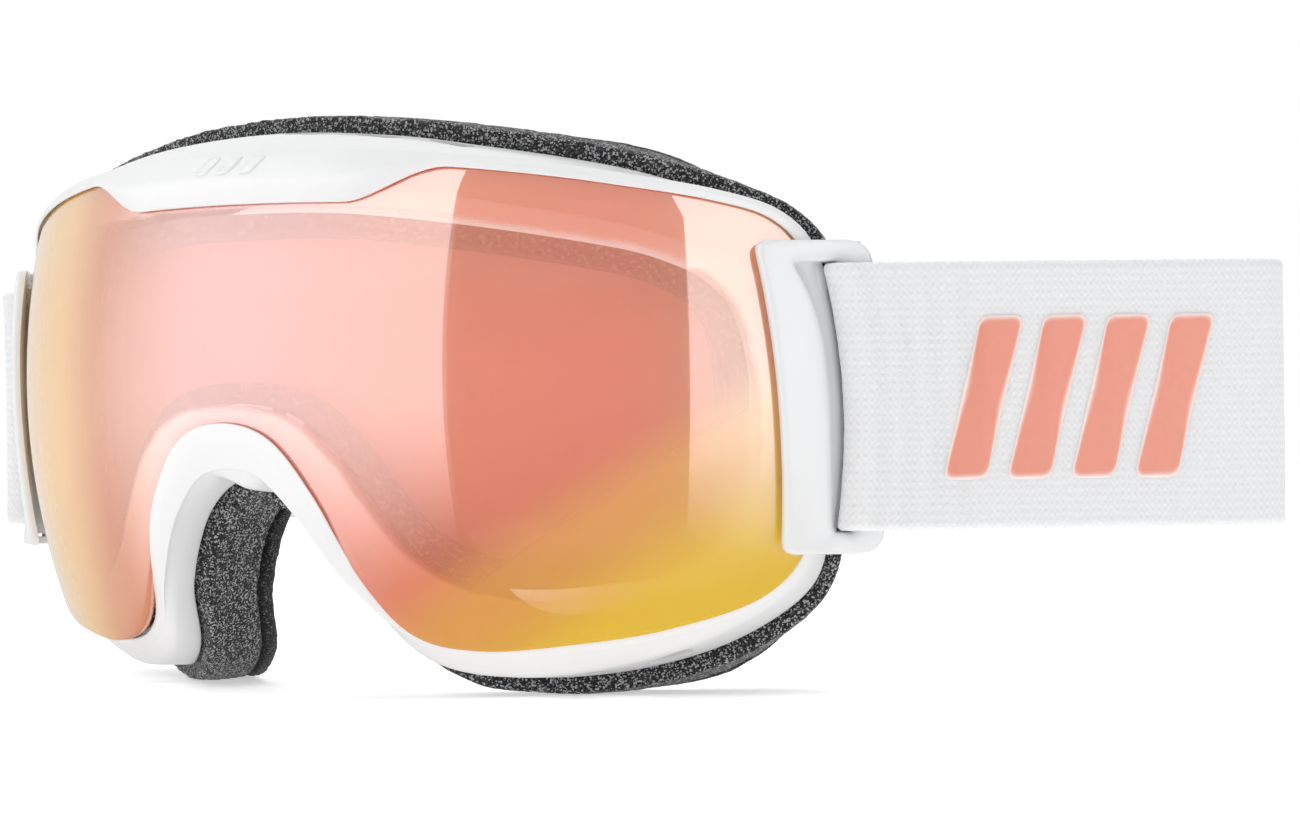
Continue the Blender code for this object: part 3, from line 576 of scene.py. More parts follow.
def mirrored():
    """The outer lens: a red mirror that turns yellow towards its low, outer edge, under a bright hard coat.

    Its yellow, and the shift of colour across it, are painted reflection over the mirror's own red. It is
    least see-through at the wearer's right, in the yellow, and outside the spacer; at the right and in the
    yellow this stands in for the stronger reflection there.
    """
    material, tree, shader, place = new_material(
        "lens_mirror", (0.9, 0.2, 0.1), 0.12, Coat_Weight=1.0, Coat_Roughness=0.02, Coat_IOR=3.6
    )
    centring = {"Vector": place.outputs["Object"], "Location": tuple(-APEX)}
    shift = node(tree, "ShaderNodeMapping", centring).outputs[0]
    axes = node(tree, "ShaderNodeSeparateXYZ", {0: shift}).outputs
    across = spread(tree, axes[0], -TINT_REACH, TINT_REACH)
    # Painted yellow reflection, strongest low on the outer edge.
    slanted = maths(tree, "SUBTRACT", maths(tree, "MULTIPLY", axes[0], YELLOW_SLANT), axes[2])
    yellow = ramp(tree, spread(tree, slanted, YELLOW_FROM, YELLOW_TO), YELLOW_SHARES, "EASE")
    tint = ramp(tree, across, MIRROR_TINTS, "EASE")
    # Painted reflection: the far, wearer's right side is made less see-through, standing in for the stronger
    # reflection there.
    far_side = spread(tree, across, 0.22, 0.42, 1.0, 0.0, "SMOOTHSTEP")
    beyond = node(tree, "ShaderNodeAttribute", attribute_name="beyond_spacer").outputs["Fac"]
    rim = spread(tree, beyond, -0.4, 1.2, 0.0, 0.75, "SMOOTHSTEP")
    dense = maths(tree, "MAXIMUM", maths(tree, "MAXIMUM", yellow, far_side), rim)
    feed(
        tree,
        shader,
        Base_Color=mixed(tree, yellow, tint, REFLECTION_YELLOW),
        Roughness=spread(tree, clouds(tree, shift, 25.0, 1.0), 0.3, 0.7, 0.10, 0.16),
        Alpha=spread(tree, dense, 0.0, 1.0, CLEAREST, FULLEST),
    )
    return material


# The inner lens is clear; its rose colour is a painted tint, standing in for the red light that comes through
# the outer lens.
def clear_lens_painted_rose():
    material, tree, shader, place = new_material("lens_rose", (0.98, 0.34, 0.24), 0.08, Coat_Weight=0.5)
    veil = clouds(tree, place.outputs["Object"], 30.0, 1.0)
    feed(tree, shader, Alpha=spread(tree, veil, 0.3, 0.7, 0.74, 0.80))
    return material


def steel():
    material, tree, shader, place = new_material("pin_steel", (0.62, 0.63, 0.65), 0.3, Metallic=1.0)
    lines = clouds(tree, place.outputs["Object"], 6000.0, 2.0)
    feed(tree, shader, Roughness=spread(tree, lines, 0.0, 1.0, 0.22, 0.42))
    add_bump(tree, shader, lines, 0.00002, 0.6)
    return material


FRAME_WHITE = plastic("frame_white", (0.81, 0.815, 0.82))
RIGGER_WHITE = plastic("bracket_white", (0.765, 0.775, 0.785), 0.35)
SLIDER_WHITE = plastic("slider_white", (0.77, 0.78, 0.79), 0.1)
MIRROR = mirrored()
ROSE = clear_lens_painted_rose()
GASKET = foam("gasket_slate", 2600.0, 0.2, 0.6)
FOAM = foam("face_foam_speckled", 4200.0, 0.35)
VENT_FOAM = foam("vent_foam_open", 1900.0, 0.35, 0.7)
LINING = foam("lining_fleece", 5200.0, 0.2, 0.35)
ELASTIC = knitted("strap_knit", (0.875, 0.885, 0.90))
PRINT = printed("strap_print_salmon", (0.77, 0.275, 0.19), (0.87, 0.71, 0.675))
STEEL = steel()
THREAD = knitted("thread_white", (0.95, 0.95, 0.95))


# ---------------------------------------------------------------- lenses, spacer and seal


def curved_plate(name, stations, depth, wall, edge, spacing, material):
    """A lens: two curved faces inside an outline, joined by a rounded edge."""
    flat = [Vector((s[0] - edge * s[-2], s[1] - edge * s[-1])) for s in stations]
    count = len(flat)
    coarse = flat[:: max(1, count // 96)]
    inner = []
    rows = int(LENS_HALF_WIDTH * 2 / spacing)
    for i in range(rows + 1):
        for j in range(rows + 1):
            x = -LENS_HALF_WIDTH + i * spacing + spacing / 2 * (j % 2)
            spot = Vector((x, -LENS_BELOW + j * spacing * 0.866))
            if spot.y < LENS_ABOVE and min((spot - p).length_squared for p in coarse) > spacing**2:
                inner.append(spot)
    plan, _, meshed, *_ = geometry.delaunay_2d_cdt(flat + inner, [], [tuple(range(count))], 1, 1e-5)
    front = [lens_point(p.x, p.y, depth) for p in plan]
    points = front + [lens_point(p.x, p.y, depth + wall) for p in plan]
    faces = [tuple(f) for f in meshed] + [tuple(i + len(front) for i in reversed(f)) for f in meshed]
    turns = [t * math.pi / 8 for t in range(1, 5)]
    bend = [(edge * (math.sin(turn) - 1), edge * (1 - math.cos(turn))) for turn in turns]
    loops = [range(count)]
    for out, down in bend + [(out, wall - down) for out, down in reversed(bend)]:
        loops.append(range(len(points), len(points) + count))
        points += [at_lens_edge(s, out, depth + down) for s in stations]
    loops.append(range(len(front), len(front) + count))
    for near, far in zip(loops, loops[1:]):
        faces += ring_faces(near, far)
    return new_piece(name, points, faces, material, sharp=None)


def measure_rim(piece):
    """Store how far every point lies beyond the spacer's outline, in mm, negative inside it."""
    ring = np.array([world(lens_point(s[0], s[1])).xz for s in SPACER_STATIONS])
    ahead = np.roll(ring, -1, axis=0)
    spots = np.empty(len(piece.data.vertices) * 3)
    piece.data.vertices.foreach_get("co", spots)
    spots = spots.reshape(-1, 3)[:, (0, 2)]
    away = np.linalg.norm(spots[:, None] - ring[None], axis=2).min(axis=1)
    rise = ahead[:, 1] - ring[:, 1]
    spans = (ring[None, :, 1] > spots[:, 1, None]) != (ahead[None, :, 1] > spots[:, 1, None])
    share = (spots[:, 1, None] - ring[None, :, 1]) / np.where(rise == 0, 1.0, rise)[None]
    crossing = ring[None, :, 0] + share * (ahead - ring)[None, :, 0]
    inside = (spans & (spots[:, 0, None] < crossing)).sum(axis=1) % 2 == 1
    beyond = np.where(inside, -away, away) / MM
    piece.data.attributes.new("beyond_spacer", "FLOAT", "POINT").data.foreach_set("value", beyond)


def make_lenses():
    outer = curved_plate("mirror_lens", LENS_STATIONS, 0.0, OUTER_LENS_WALL, 0.55, 2.6, MIRROR)
    measure_rim(outer)
    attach(outer, "root")
    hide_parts("outer_lens")
    depth = OUTER_LENS_WALL + SPACER_WALL + 2 * CLEARANCE
    inner = curved_plate("rose_lens", SPACER_STATIONS, depth, INNER_LENS_WALL, 0.3, 4.0, ROSE)
    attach(inner, "root")
    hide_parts("inner_lens")


RIB_X_SHARES = (0.115, 0.180, 0.250)
RIB_WIDTH = 1.7
RIB_LENGTH = 3.9
RIB_WALL = 1.2
# How far along a rib, and what share of its width lies on each side of it: it rounds off at its end.
RIB_TAPER = ((-0.8, 0.5), (0.4, 0.5), (RIB_LENGTH - 0.8, 0.5), (RIB_LENGTH - 0.25, 0.36), (RIB_LENGTH, 0.14))


def spacer_rib(x, near):
    """A short rib outwards from the spacer, at an x over the nose."""
    root = min((s for s in SPACER_STATIONS if s[1] < 0), key=lambda s: abs(s[0] - x))
    out = Vector(root[-2:])
    across = Vector((-out.y, out.x))
    sections = []
    for reach, half in RIB_TAPER:
        middle = Vector(root[:2]) + out * reach
        left, right = (middle + across * RIB_WIDTH * turn for turn in (-half, half))
        corners = ((left, near), (right, near), (right, near + RIB_WALL), (left, near + RIB_WALL))
        sections.append([lens_point(p.x, p.y, deep) for p, deep in corners])
    return loft_shape(sections, closed=False)


def profile_ring(stations, profile, radii, steps=3):
    """A ring round an outline, with a rounded profile of (out, depth) corners."""
    cuts = [[at_lens_edge(s, out, deep) for out, deep in profile] for s in stations]
    return loft_shape([rounded(cut, radii, steps) for cut in cuts])


def make_spacer():
    near = OUTER_LENS_WALL + CLEARANCE
    far = near + SPACER_WALL
    profile = ((0.0, near), (0.0, far), (-SPACER_WIDTH, far), (-SPACER_WIDTH, near))
    shapes = [profile_ring(SPACER_STATIONS, profile, (0.5, 0.3, 0.3, 0.5))]
    shapes += [spacer_rib(side * share * LENS_HALF_WIDTH, near) for side in (-1, 1) for share in RIB_X_SHARES]
    spacer = new_piece("spacer_with_ribs", *joined_shape(*shapes), GASKET)
    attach(spacer, "root")
    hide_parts("lens_spacer")


def make_seal():
    near = OUTER_LENS_WALL + CLEARANCE
    far = near + SEAL_WALL
    outer, inner = -CLEARANCE, -LEDGE_WIDTH + CLEARANCE
    profile = ((outer, near), (outer, far), (inner, far), (inner, near))
    seal = new_piece("lens_tape", *profile_ring(LENS_STATIONS, profile, (0.15,) * 4, 2), GASKET)
    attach(seal, "root")
    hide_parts("lens_seal")


# ---------------------------------------------------------------- frame


def frame_section(station):
    """The frame cut square to its outline, with rounded corners, and a step under the lip over the nose."""
    lip = station[2]
    brow = brow_share(station)
    nose = nose_share(station)
    cheek = cheek_share(station)
    over = (LIP_OVERLAP + BROW_DROP * brow) * (1 - cheek) - RIM_GAP * cheek
    proud = (LIP_PROUD + BROW_PROUD * brow) * (1 - cheek) - RIM_DEPTH * cheek
    bevel = min(over + lip * 0.5, 0.5 + BROW_BEVEL * brow + lip * 0.35 * (1 - brow))
    under = -CLEARANCE * (1 - cheek) + (RIM_DEPTH + 0.5) * cheek
    front = at_lens_edge(station, lip, 0.3 - proud * (0.5 + 0.6 * cheek))
    top = crest(station)
    lower_lip = front.lerp(top, 0.06 + 0.10 * nose)
    outward = Vector((station[-2], 0.0, station[-1]))
    step_in = lower_lip + (top - front) * 0.05 - outward * (0.05 + 0.75 * nose)
    step_in += Vector((0.0, 0.25 * nose, 0.0))
    points = [
        at_lens_edge(station, -over, RIM_DEPTH * cheek - LIP_PROUD * (1 - cheek)),
        at_lens_edge(station, bevel - over, -proud),
        front,
        lower_lip,
        step_in,
        top,
        at_flange(station, 0.0, -FLANGE_WALL),
        at_flange(station, 0.0, 0.0),
        at_flange(station, -FLANGE_WIDTH, 0.0),
        at_flange(station, -FLANGE_WIDTH, -FLANGE_WALL),
        at_flange(station, -FRAME_WALL, -FLANGE_WALL),
        crest(station, FRAME_WALL),
        at_lens_edge(station, -CLEARANCE, SEAT_DEPTH + LEDGE_WALL),
        at_lens_edge(station, -LEDGE_WIDTH, SEAT_DEPTH + LEDGE_WALL),
        at_lens_edge(station, -LEDGE_WIDTH, SEAT_DEPTH),
        at_lens_edge(station, CLEARANCE, SEAT_DEPTH),
        at_lens_edge(station, CLEARANCE, under),
        at_lens_edge(station, -over, under),
    ]
    front_radii = (0.16, 0.35 + 0.5 * brow, 1.1, 0.3 + 0.3 * nose, 0.3, 1.6)
    return rounded(points, front_radii + (0.5, 0.5, 0.4, 0.3, 0.6, 0.6, 0.3, 0.3, 0.3, 0.2, 0.2, 0.12))


def nearest_station(x, above):
    """The number of the station nearest to an x, above or below the middle."""
    return min((abs(s[0] - x), i) for i, s in enumerate(LENS_STATIONS) if (s[1] > 0) == above)[1]


def vent_cutter():
    """All the frame's vent slots, with round ends, as one mesh."""
    length, width = VENT_SLOT
    places = [nearest_station(x, True) for x in TOP_VENT_XS]
    places += [nearest_station(x, False) for x in LOW_VENT_XS]
    shapes = []
    for index in places + [-i for i in places]:
        station = LENS_STATIONS[index]
        outward = Vector((station[-2], 0.0, station[-1]))
        run = outward.cross(Vector((0.0, 1.0, 0.0)))
        rear = at_flange(station, 0.0, -FLANGE_WALL)
        middle = (crest(station) + rear) / 2
        half = min(width, (rear.y - crest(station).y) * 0.7) / 2
        ring = []
        for step in range(24):
            turn = math.tau * step / 24
            reach = math.copysign(length / 2 - half, math.cos(turn)) + half * math.cos(turn)
            ring.append(run * reach + Vector((0.0, half * math.sin(turn), 0.0)))
        levels = (-FRAME_WALL - 2.0, FRAME_WALL + 1.0)
        shapes.append(loft_shape([[middle + outward * up + p for p in ring] for up in levels], closed=False))
    return new_piece("vent_cutter", *joined_shape(*shapes), FRAME_WHITE)


def rigger_point(along, z, height, side):
    """A point on a bracket: so far along it to the rear, at a height z, and so far above its face."""
    forward = Vector((side * math.cos(RIGGER_ANGLE), math.sin(RIGGER_ANGLE), 0.0))
    outward = Vector((side * math.sin(RIGGER_ANGLE), -math.cos(RIGGER_ANGLE), 0.0))
    straight = ease(along, 0.0, RIGGER_STRAIGHT_FROM)
    drop = upright_drop(z) * (1 - straight) + RIGGER_BAR_DROP * straight
    return Vector((side * RIGGER_START[0], RIGGER_START[1], z)) + forward * along + outward * (height - drop)


HINGE_DEPTH = RIGGER_WALL + CLEARANCE + HINGE_EYE
RIGGER_TOP = STRAP_MIDDLE_Z + STRAP_WIDTH / 2 + CLEARANCE + RIGGER_ARM
RIGGER_BOTTOM = STRAP_MIDDLE_Z - STRAP_WIDTH / 2 - CLEARANCE - RIGGER_ARM


def half_levels(level, outer_half):
    """The half of an arm's height where the bracket's ear lies, or the half where the frame's lug lies."""
    low = RIGGER_TOP - RIGGER_ARM if level > 0 else RIGGER_BOTTOM
    high = RIGGER_TOP if level > 0 else RIGGER_BOTTOM + RIGGER_ARM
    middle = (low + high) / 2
    if (level > 0) == outer_half:
        return middle + CLEARANCE / 2, high
    return low, middle - CLEARANCE / 2


def bored_block(plan, centre, bore, low, high):
    """An upright block with a plan outline and a round bore."""
    sections = []
    for turn in (math.tau * step / 40 for step in range(40)):
        ray = Vector((math.cos(turn), math.sin(turn)))
        reach = bore + 0.3
        for a, b in zip(plan, plan[1:] + plan[:1]):
            hit = geometry.intersect_line_line_2d(centre, centre + ray * 60.0, a, b)
            if hit:
                reach = (hit - centre).length
        rim, hole = centre + ray * reach, centre + ray * bore
        corners = ((rim, low), (rim, high), (hole, high), (hole, low))
        sections.append([Vector((*place, z)) for place, z in corners])
    return loft_shape(sections)


def make_frame():
    shell = new_piece("moulded_frame", *loft_shape([frame_section(s) for s in LENS_STATIONS]), FRAME_WHITE)
    cutter = vent_cutter()
    cut = shell.modifiers.new("vents", "BOOLEAN")
    cut.operation, cut.solver, cut.object = "DIFFERENCE", "EXACT", cutter
    graph = bpy.context.evaluated_depsgraph_get()
    mesh = bpy.data.meshes.new_from_object(shell.evaluated_get(graph))
    shell.modifiers.clear()
    shell.data = mesh
    bpy.data.objects.remove(cutter, do_unlink=True)
    mesh.shade_smooth()
    mesh.set_sharp_from_angle(angle=math.radians(SHARP_ANGLE))
    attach(shell, "root")
    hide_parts("main_frame")


def make_hinge_lugs():
    """Four bored lugs between the frame's side wall and the hinge pins."""
    eye = HINGE_EYE
    shapes = []
    for side in (-1, 1):
        for level in (1, -1):
            low, high = half_levels(level, False)
            station = min(LENS_STATIONS, key=lambda s: math.dist(s[:2], (side * LENS_HALF_WIDTH, low)))
            corners = ((-eye, eye), (eye, eye), (eye, -eye))
            plan = [rigger_point(HINGE_FORWARD + a, 0.0, b - HINGE_DEPTH, side) for a, b in corners]
            plan += [at_flange(station, -FRAME_WALL, -FLANGE_WALL * 0.4), crest(station, FRAME_WALL * 0.6)]
            centre = rigger_point(HINGE_FORWARD, 0.0, -HINGE_DEPTH, side).xy
            shapes.append(bored_block([p.xy for p in plan], centre, PIN_RADIUS + 0.1, low, high))
    lugs = new_piece("hinge_lugs", *joined_shape(*shapes), FRAME_WHITE)
    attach(lugs, "root")


def brow_face_point(x, share, height):
    """A point on the brow bar's front face: at an x, a share of the way up it, and a height above it."""
    station = LENS_STATIONS[nearest_station(x, True)]
    over = LIP_OVERLAP + BROW_DROP * brow_share(station)
    proud = LIP_PROUD + BROW_PROUD * brow_share(station)
    low = at_lens_edge(station, BROW_BEVEL + 0.8 - over, -proud)
    high = at_lens_edge(station, station[2], 0.3 - proud * 0.5)
    spot = low.lerp(high, share)
    outward = (high - low).cross(Vector((1.0, 0.0, 0.0))).normalized()
    outward *= -1.0 if outward.y > 0 else 1.0
    return Vector((x, spot.y, spot.z)) + outward * height


BROW_BAR_XS = (-4.6, 0.0, 4.6)
BROW_BAR_SLANT = 3.0
BROW_BAR_SHARES = (0.16, 0.22, 0.36, 0.5, 0.64, 0.78, 0.84)
BROW_BAR_PROFILE = ((-1.25, -0.3), (-1.2, 0.16), (-1.0, 0.3), (1.0, 0.3), (1.2, 0.16), (1.25, -0.3))


def make_brow_mark():
    """Three raised slanted bars on the brow, narrower and lower at their ends."""
    shapes = []
    for middle in BROW_BAR_XS:
        sections = []
        for share in BROW_BAR_SHARES:
            size = 0.55 if share in (BROW_BAR_SHARES[0], BROW_BAR_SHARES[-1]) else 1.0
            x = middle + (share - 0.5) * BROW_BAR_SLANT
            row = []
            for aside, height in BROW_BAR_PROFILE:
                row.append(brow_face_point(x + aside * size, share, height * (size if height > 0 else 1.0)))
            sections.append(row)
        shapes.append(loft_shape(sections, closed=False))
    mark = new_piece("brow_bars", *joined_shape(*shapes), FRAME_WHITE)
    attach(mark, "root")


# ---------------------------------------------------------------- foams


def make_vent_foam(name, node_name, first, last):
    """A strip of filter foam behind the vents, from one station to another."""
    sections = []
    for index in range(first, last + 1):
        station = LENS_STATIONS[index % STATIONS]
        outward = Vector((station[-2], 0.0, station[-1]))
        front = crest(station) - outward * (FRAME_WALL + CLEARANCE) + Vector((0.0, 1.4, 0.0))
        rear = at_flange(station, -FRAME_WALL - CLEARANCE, -FLANGE_WALL - CLEARANCE)
        rear -= outward * max(0.0, (rear - front).dot(outward)) * 0.4
        corners = (front, rear, rear - outward * VENT_FOAM_WALL, front - outward * VENT_FOAM_WALL)
        ring = []
        for a, b in zip(corners, corners[1:] + corners[:1]):
            ring += [a.lerp(b, t / 8) for t in range(8)]
        middle = sum(ring, Vector()) / len(ring)
        ring = [p.lerp(middle, 0.03) for p in ring]
        sections.append([p + (p - middle).normalized() * grain(p, 0.8, 0.12) for p in ring])
    piece = new_piece(name, *loft_shape(sections, closed=False), VENT_FOAM)
    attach(piece, "root")
    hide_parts(node_name)


def leaning(station, point, back):
    """The point moved inwards at the sides, the more the further back it lies."""
    share = ease(abs(station[0]), *FOAM_LEAN_SPAN)
    return point - Vector((math.copysign(FOAM_LEAN * share * back, station[0]), 0.0, 0.0))


def foam_ring(name, node_name, front, depth, corner, crown, roughness, material):
    """A ring of padding: slightly crowned faces, rounded corners, and a surface of fine cells."""
    rear = front + depth
    outer, inner = FOAM_OVERHANG, FOAM_OVERHANG - FOAM_WIDTH
    box = [Vector(p) for p in ((outer, front), (outer, rear), (inner, rear), (inner, front))]
    corners = rounded(box, (corner * 0.6, corner, corner, corner * 0.6), 4)
    profile = []
    for i, spot in enumerate(corners):
        after = corners[(i + 1) % len(corners)]
        parts = max(1, round((after - spot).length / 0.62))
        profile += [spot.lerp(after, t / parts) for t in range(parts)]
    sections = []
    for station in whole_outline(HALF_OUTLINE, FOAM_STATIONS):
        ring = []
        for spot in profile:
            out_share = (spot.x - inner) / FOAM_WIDTH
            back_share = (spot.y - front) / depth
            swell = crown * math.sin(math.pi * back_share)
            out = spot.x + (swell if out_share > 0.9 else -swell if out_share < 0.1 else 0.0)
            point = leaning(station, at_flange(station, out, spot.y), spot.y)
            rough = grain(point, 0.9, roughness) + grain(point, 3.5, roughness * 0.8)
            push = Vector((station[-2], 0.0, station[-1])) * (out_share * 2 - 1)
            push += Vector((0.0, back_share * 2 - 1, 0.0))
            ring.append(point + push * rough * 0.8)
        sections.append(ring)
    piece = new_piece(name, *loft_shape(sections), material, sharp=None)
    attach(piece, "root")
    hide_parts(node_name)


def make_foams():
    margin = STATIONS // 48
    top_last = nearest_station(TOP_VENT_XS[-1], True) + margin
    make_vent_foam("top_vent_filter", "top_vent_foam", -top_last, top_last)
    ends = sorted(nearest_station(x, False) for x in LOW_VENT_XS)
    first, last = ends[0] - margin, ends[-1] + margin
    make_vent_foam("lower_vent_filter_left", "lower_vent_foam_left", first, last)
    make_vent_foam("lower_vent_filter_right", "lower_vent_foam_right", -last, -first)
    foam_ring("face_foam_ring", "face_foam", FOAM_GAP, FOAM_DEPTH, 1.3, 0.25, 0.22, FOAM)
    lining_front = 2 * FOAM_GAP + FOAM_DEPTH
    foam_ring("fleece_lining", "face_lining", lining_front, LINING_DEPTH, 1.1, 0.1, 0.16, LINING)


# ---------------------------------------------------------------- strap brackets

BRACKET_FRONT_BOW = 1.3
BAR_SHIFTS = (-4.6, 13.4, -11.4)
# Shares of the way from the outer edge to the window, each with a height there.
BRACKET_LEVELS = (
    (0.0, -1.1), (0.015, -0.6), (0.05, -0.25), (0.1, -0.06), (0.18, 0.0), (0.45, 0.0),
    (0.66, -0.1), (0.82, -0.28), (0.92, -0.52), (0.975, -0.85), (1.0, -1.25),
)
BRACKET_LIP = ((0.35, -1.9), (0.75, -2.7), (1.0, -3.4))
BRACKET_LIP_END = -3.8
BRACKET_LIP_OVERLAP = 0.45


def plan_loop(corners, radii, side_steps=26):
    """A closed loop round four corners, with points along its straight sides too."""
    loop = []
    arcs = rounded(corners, radii, 8)
    count = len(arcs) // 4
    for i in range(4):
        arc = arcs[i * count : (i + 1) * count]
        after = arcs[(i + 1) % 4 * count]
        loop += arc + [arc[-1].lerp(after, s / side_steps) for s in range(1, side_steps)]
    return loop


def upright_share(z):
    """0 at a bracket's top and 1 at its bottom."""
    return min(1.0, max(0.0, (RIGGER_TOP - z) / (RIGGER_TOP - RIGGER_BOTTOM)))


def bar_bow(z):
    """How far back the bar stands: forward at its top end, least so at mid height."""
    t = upright_share(z)
    return BAR_SHIFTS[0] + BAR_SHIFTS[1] * t + BAR_SHIFTS[2] * t * t


def bowed_edge(p, rear):
    """The bracket's outline with its front edge and its bar bowed backwards."""
    t = upright_share(p.y)
    nearness = min(1.0, max(0.0, (rear - p.x) / rear))
    bow = BRACKET_FRONT_BOW * nearness + 0.5 * (1 - nearness)
    return Vector((p.x + bow * 4 * t * (1 - t), p.y))


def bowed_window(p):
    """The window's outline: its front edge runs well forward at the top and curves back below."""
    low, high = RIGGER_BOTTOM + RIGGER_ARM, RIGGER_TOP - RIGGER_ARM
    t = min(1.0, max(0.0, (high - p.y) / (high - low)))
    straight = 6.5 + 3.7 * t
    wanted = 4.4 + 6.0 * (1 - (1 - t) ** 5)
    nearness = min(1.0, max(0.0, (RIGGER_BAR_FORWARD - p.x) / (RIGGER_BAR_FORWARD - straight)))
    return Vector((p.x + (wanted - straight) * nearness + bar_bow(p.y) * (1 - nearness), p.y))


def bracket_section(edge, hole, side):
    """The bracket cut from its outer edge to its window, with a lip that rolls in up to the strap's front."""
    line = [(edge.lerp(hole, share), height) for share, height in BRACKET_LEVELS]
    strap_front = RIGGER_BAR_FORWARD + RIGGER_BAR / 2 - WRAP_RADIUS - STRAP_WALL / 2 + bar_bow(hole.y)
    roll = max(0.0, strap_front + BRACKET_LIP_OVERLAP - hole.x)
    line += [(Vector((hole.x + roll * share, hole.y)), depth) for share, depth in BRACKET_LIP]
    line += [(line[-1][0], BRACKET_LIP_END), (hole, -3.2), (hole.lerp(edge, 0.2), -RIGGER_WALL)]
    line += [(edge.lerp(hole, 0.06), -RIGGER_WALL), (edge, -RIGGER_WALL + 0.15)]
    return [rigger_point(p.x, p.y, height, side) for p, height in line]


def make_bracket(side, side_name):
    rear = RIGGER_BAR_FORWARD + RIGGER_BAR
    top, bottom = RIGGER_TOP, RIGGER_BOTTOM
    high, low = top - RIGGER_ARM, bottom + RIGGER_ARM
    outer = [Vector(p) for p in ((-1.4, top), (rear - 1.2, top), (rear + 0.4, bottom), (2.8, bottom))]
    bar = RIGGER_BAR_FORWARD
    window = [Vector(p) for p in ((6.5, high), (bar, high), (bar, low), (10.2, low))]
    outer_loop = [bowed_edge(p, rear) for p in plan_loop(outer, (2.2, 4.2, 4.2, 2.2))]
    window_loop = [bowed_window(p) for p in plan_loop(window, (1.6, 0.8, 0.8, 1.4))]
    shapes = [loft_shape([bracket_section(edge, hole, side) for edge, hole in zip(outer_loop, window_loop)])]
    eye = HINGE_EYE
    for level in (1, -1):
        floor, roof = half_levels(level, True)
        near, far = 0.5 - RIGGER_WALL, -HINGE_DEPTH - eye
        corners = ((-eye, near), (eye, near), (eye, far), (-eye, far))
        plan = [rigger_point(HINGE_FORWARD + along, 0.0, height, side).xy for along, height in corners]
        centre = rigger_point(HINGE_FORWARD, 0.0, -HINGE_DEPTH, side).xy
        shapes.append(bored_block(plan, centre, PIN_RADIUS + 0.1, floor + 0.02, roof - 0.25))
    bracket = new_piece(f"bracket_{side_name}", *joined_shape(*shapes), RIGGER_WHITE, sharp=50.0)
    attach(bracket, f"outrigger_{side_name}")
    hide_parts(f"outrigger_{side_name}")


# ---------------------------------------------------------------- strap

WRAP_RIB_SPAN = (22.0, 44.0)
RIB_RELIEF = 0.16
EDGE_WAVE = 0.10
RUN = {side: Vector((math.cos(angle), math.sin(angle))) for side, angle in STRAP_ANGLE.items()}
OUTWARD = {side: Vector((run.y, -run.x)) for side, run in RUN.items()}
BAR = rigger_point(RIGGER_BAR_FORWARD + RIGGER_BAR / 2, 0.0, -RIGGER_WALL / 2, 1).xy
FACE_START = {side: BAR + outward * WRAP_RADIUS for side, outward in OUTWARD.items()}


def side_run(side):
    """How long a side run is. The two webs cross the back at one depth, so the steeper run is the shorter."""
    left, steep = STRAP_ANGLE[1], STRAP_ANGLE[side]
    fold_gain = (WRAP_RADIUS - FOLD_RADIUS) * (math.cos(left) - math.cos(steep))
    return (LEFT_SIDE_RUN * math.sin(left) - fold_gain) / math.sin(steep)


def arc(middle, radius, first, last, steps=24):
    turns = (first + (last - first) * t / steps for t in range(steps + 1))
    return [middle + radius * Vector((math.cos(turn), math.sin(turn))) for turn in turns]


def fold_arc(side):
    """The bend from the side run into the web across the back."""
    middle = FACE_START[side] + RUN[side] * side_run(side) - OUTWARD[side] * FOLD_RADIUS
    return arc(middle, FOLD_RADIUS, STRAP_ANGLE[side] - math.pi / 2, math.pi / 2)


def resampled(route, step):
    """The route again at nearly equal steps, with the distance of each point along it."""
    far = [0.0]
    for a, b in zip(route, route[1:]):
        far.append(far[-1] + (b - a).length)
    count = max(2, round(far[-1] / step))
    rows, i = [], 0
    for n in range(count + 1):
        want = far[-1] * n / count
        while i < len(route) - 2 and far[i + 1] < want:
            i += 1
        rows.append((route[i].lerp(route[i + 1], (want - far[i]) / (far[i + 1] - far[i])), want))
    return rows


def strap_profile(side_points):
    """Offsets across the strap and through its wall, once round, with half-round edges."""
    half, wall = STRAP_WIDTH / 2, STRAP_WALL / 2
    flat = half - wall
    loop = [(-flat + 2 * flat * t / side_points, wall) for t in range(side_points)]
    loop += [(flat + wall * math.sin(t * math.pi / 6), wall * math.cos(t * math.pi / 6)) for t in range(6)]
    loop += [(flat - 2 * flat * t / side_points, -wall) for t in range(side_points)]
    loop += [(-flat - wall * math.sin(t * math.pi / 6), -wall * math.cos(t * math.pi / 6)) for t in range(6)]
    return loop


def knit_relief(far, across, ribs):
    """The strap's surface relief: ribs along its width near the bracket, and felted unevenness everywhere."""
    spot = Vector((far, across, ribs))
    felt = noise.noise(spot / 0.8) * 0.05 + noise.noise(spot / 3.0) * 0.05
    courses = math.sin(far * math.tau / 1.15) * (0.6 + 0.4 * math.sin(across * math.tau / 1.3))
    return felt + ribs * RIB_RELIEF * courses


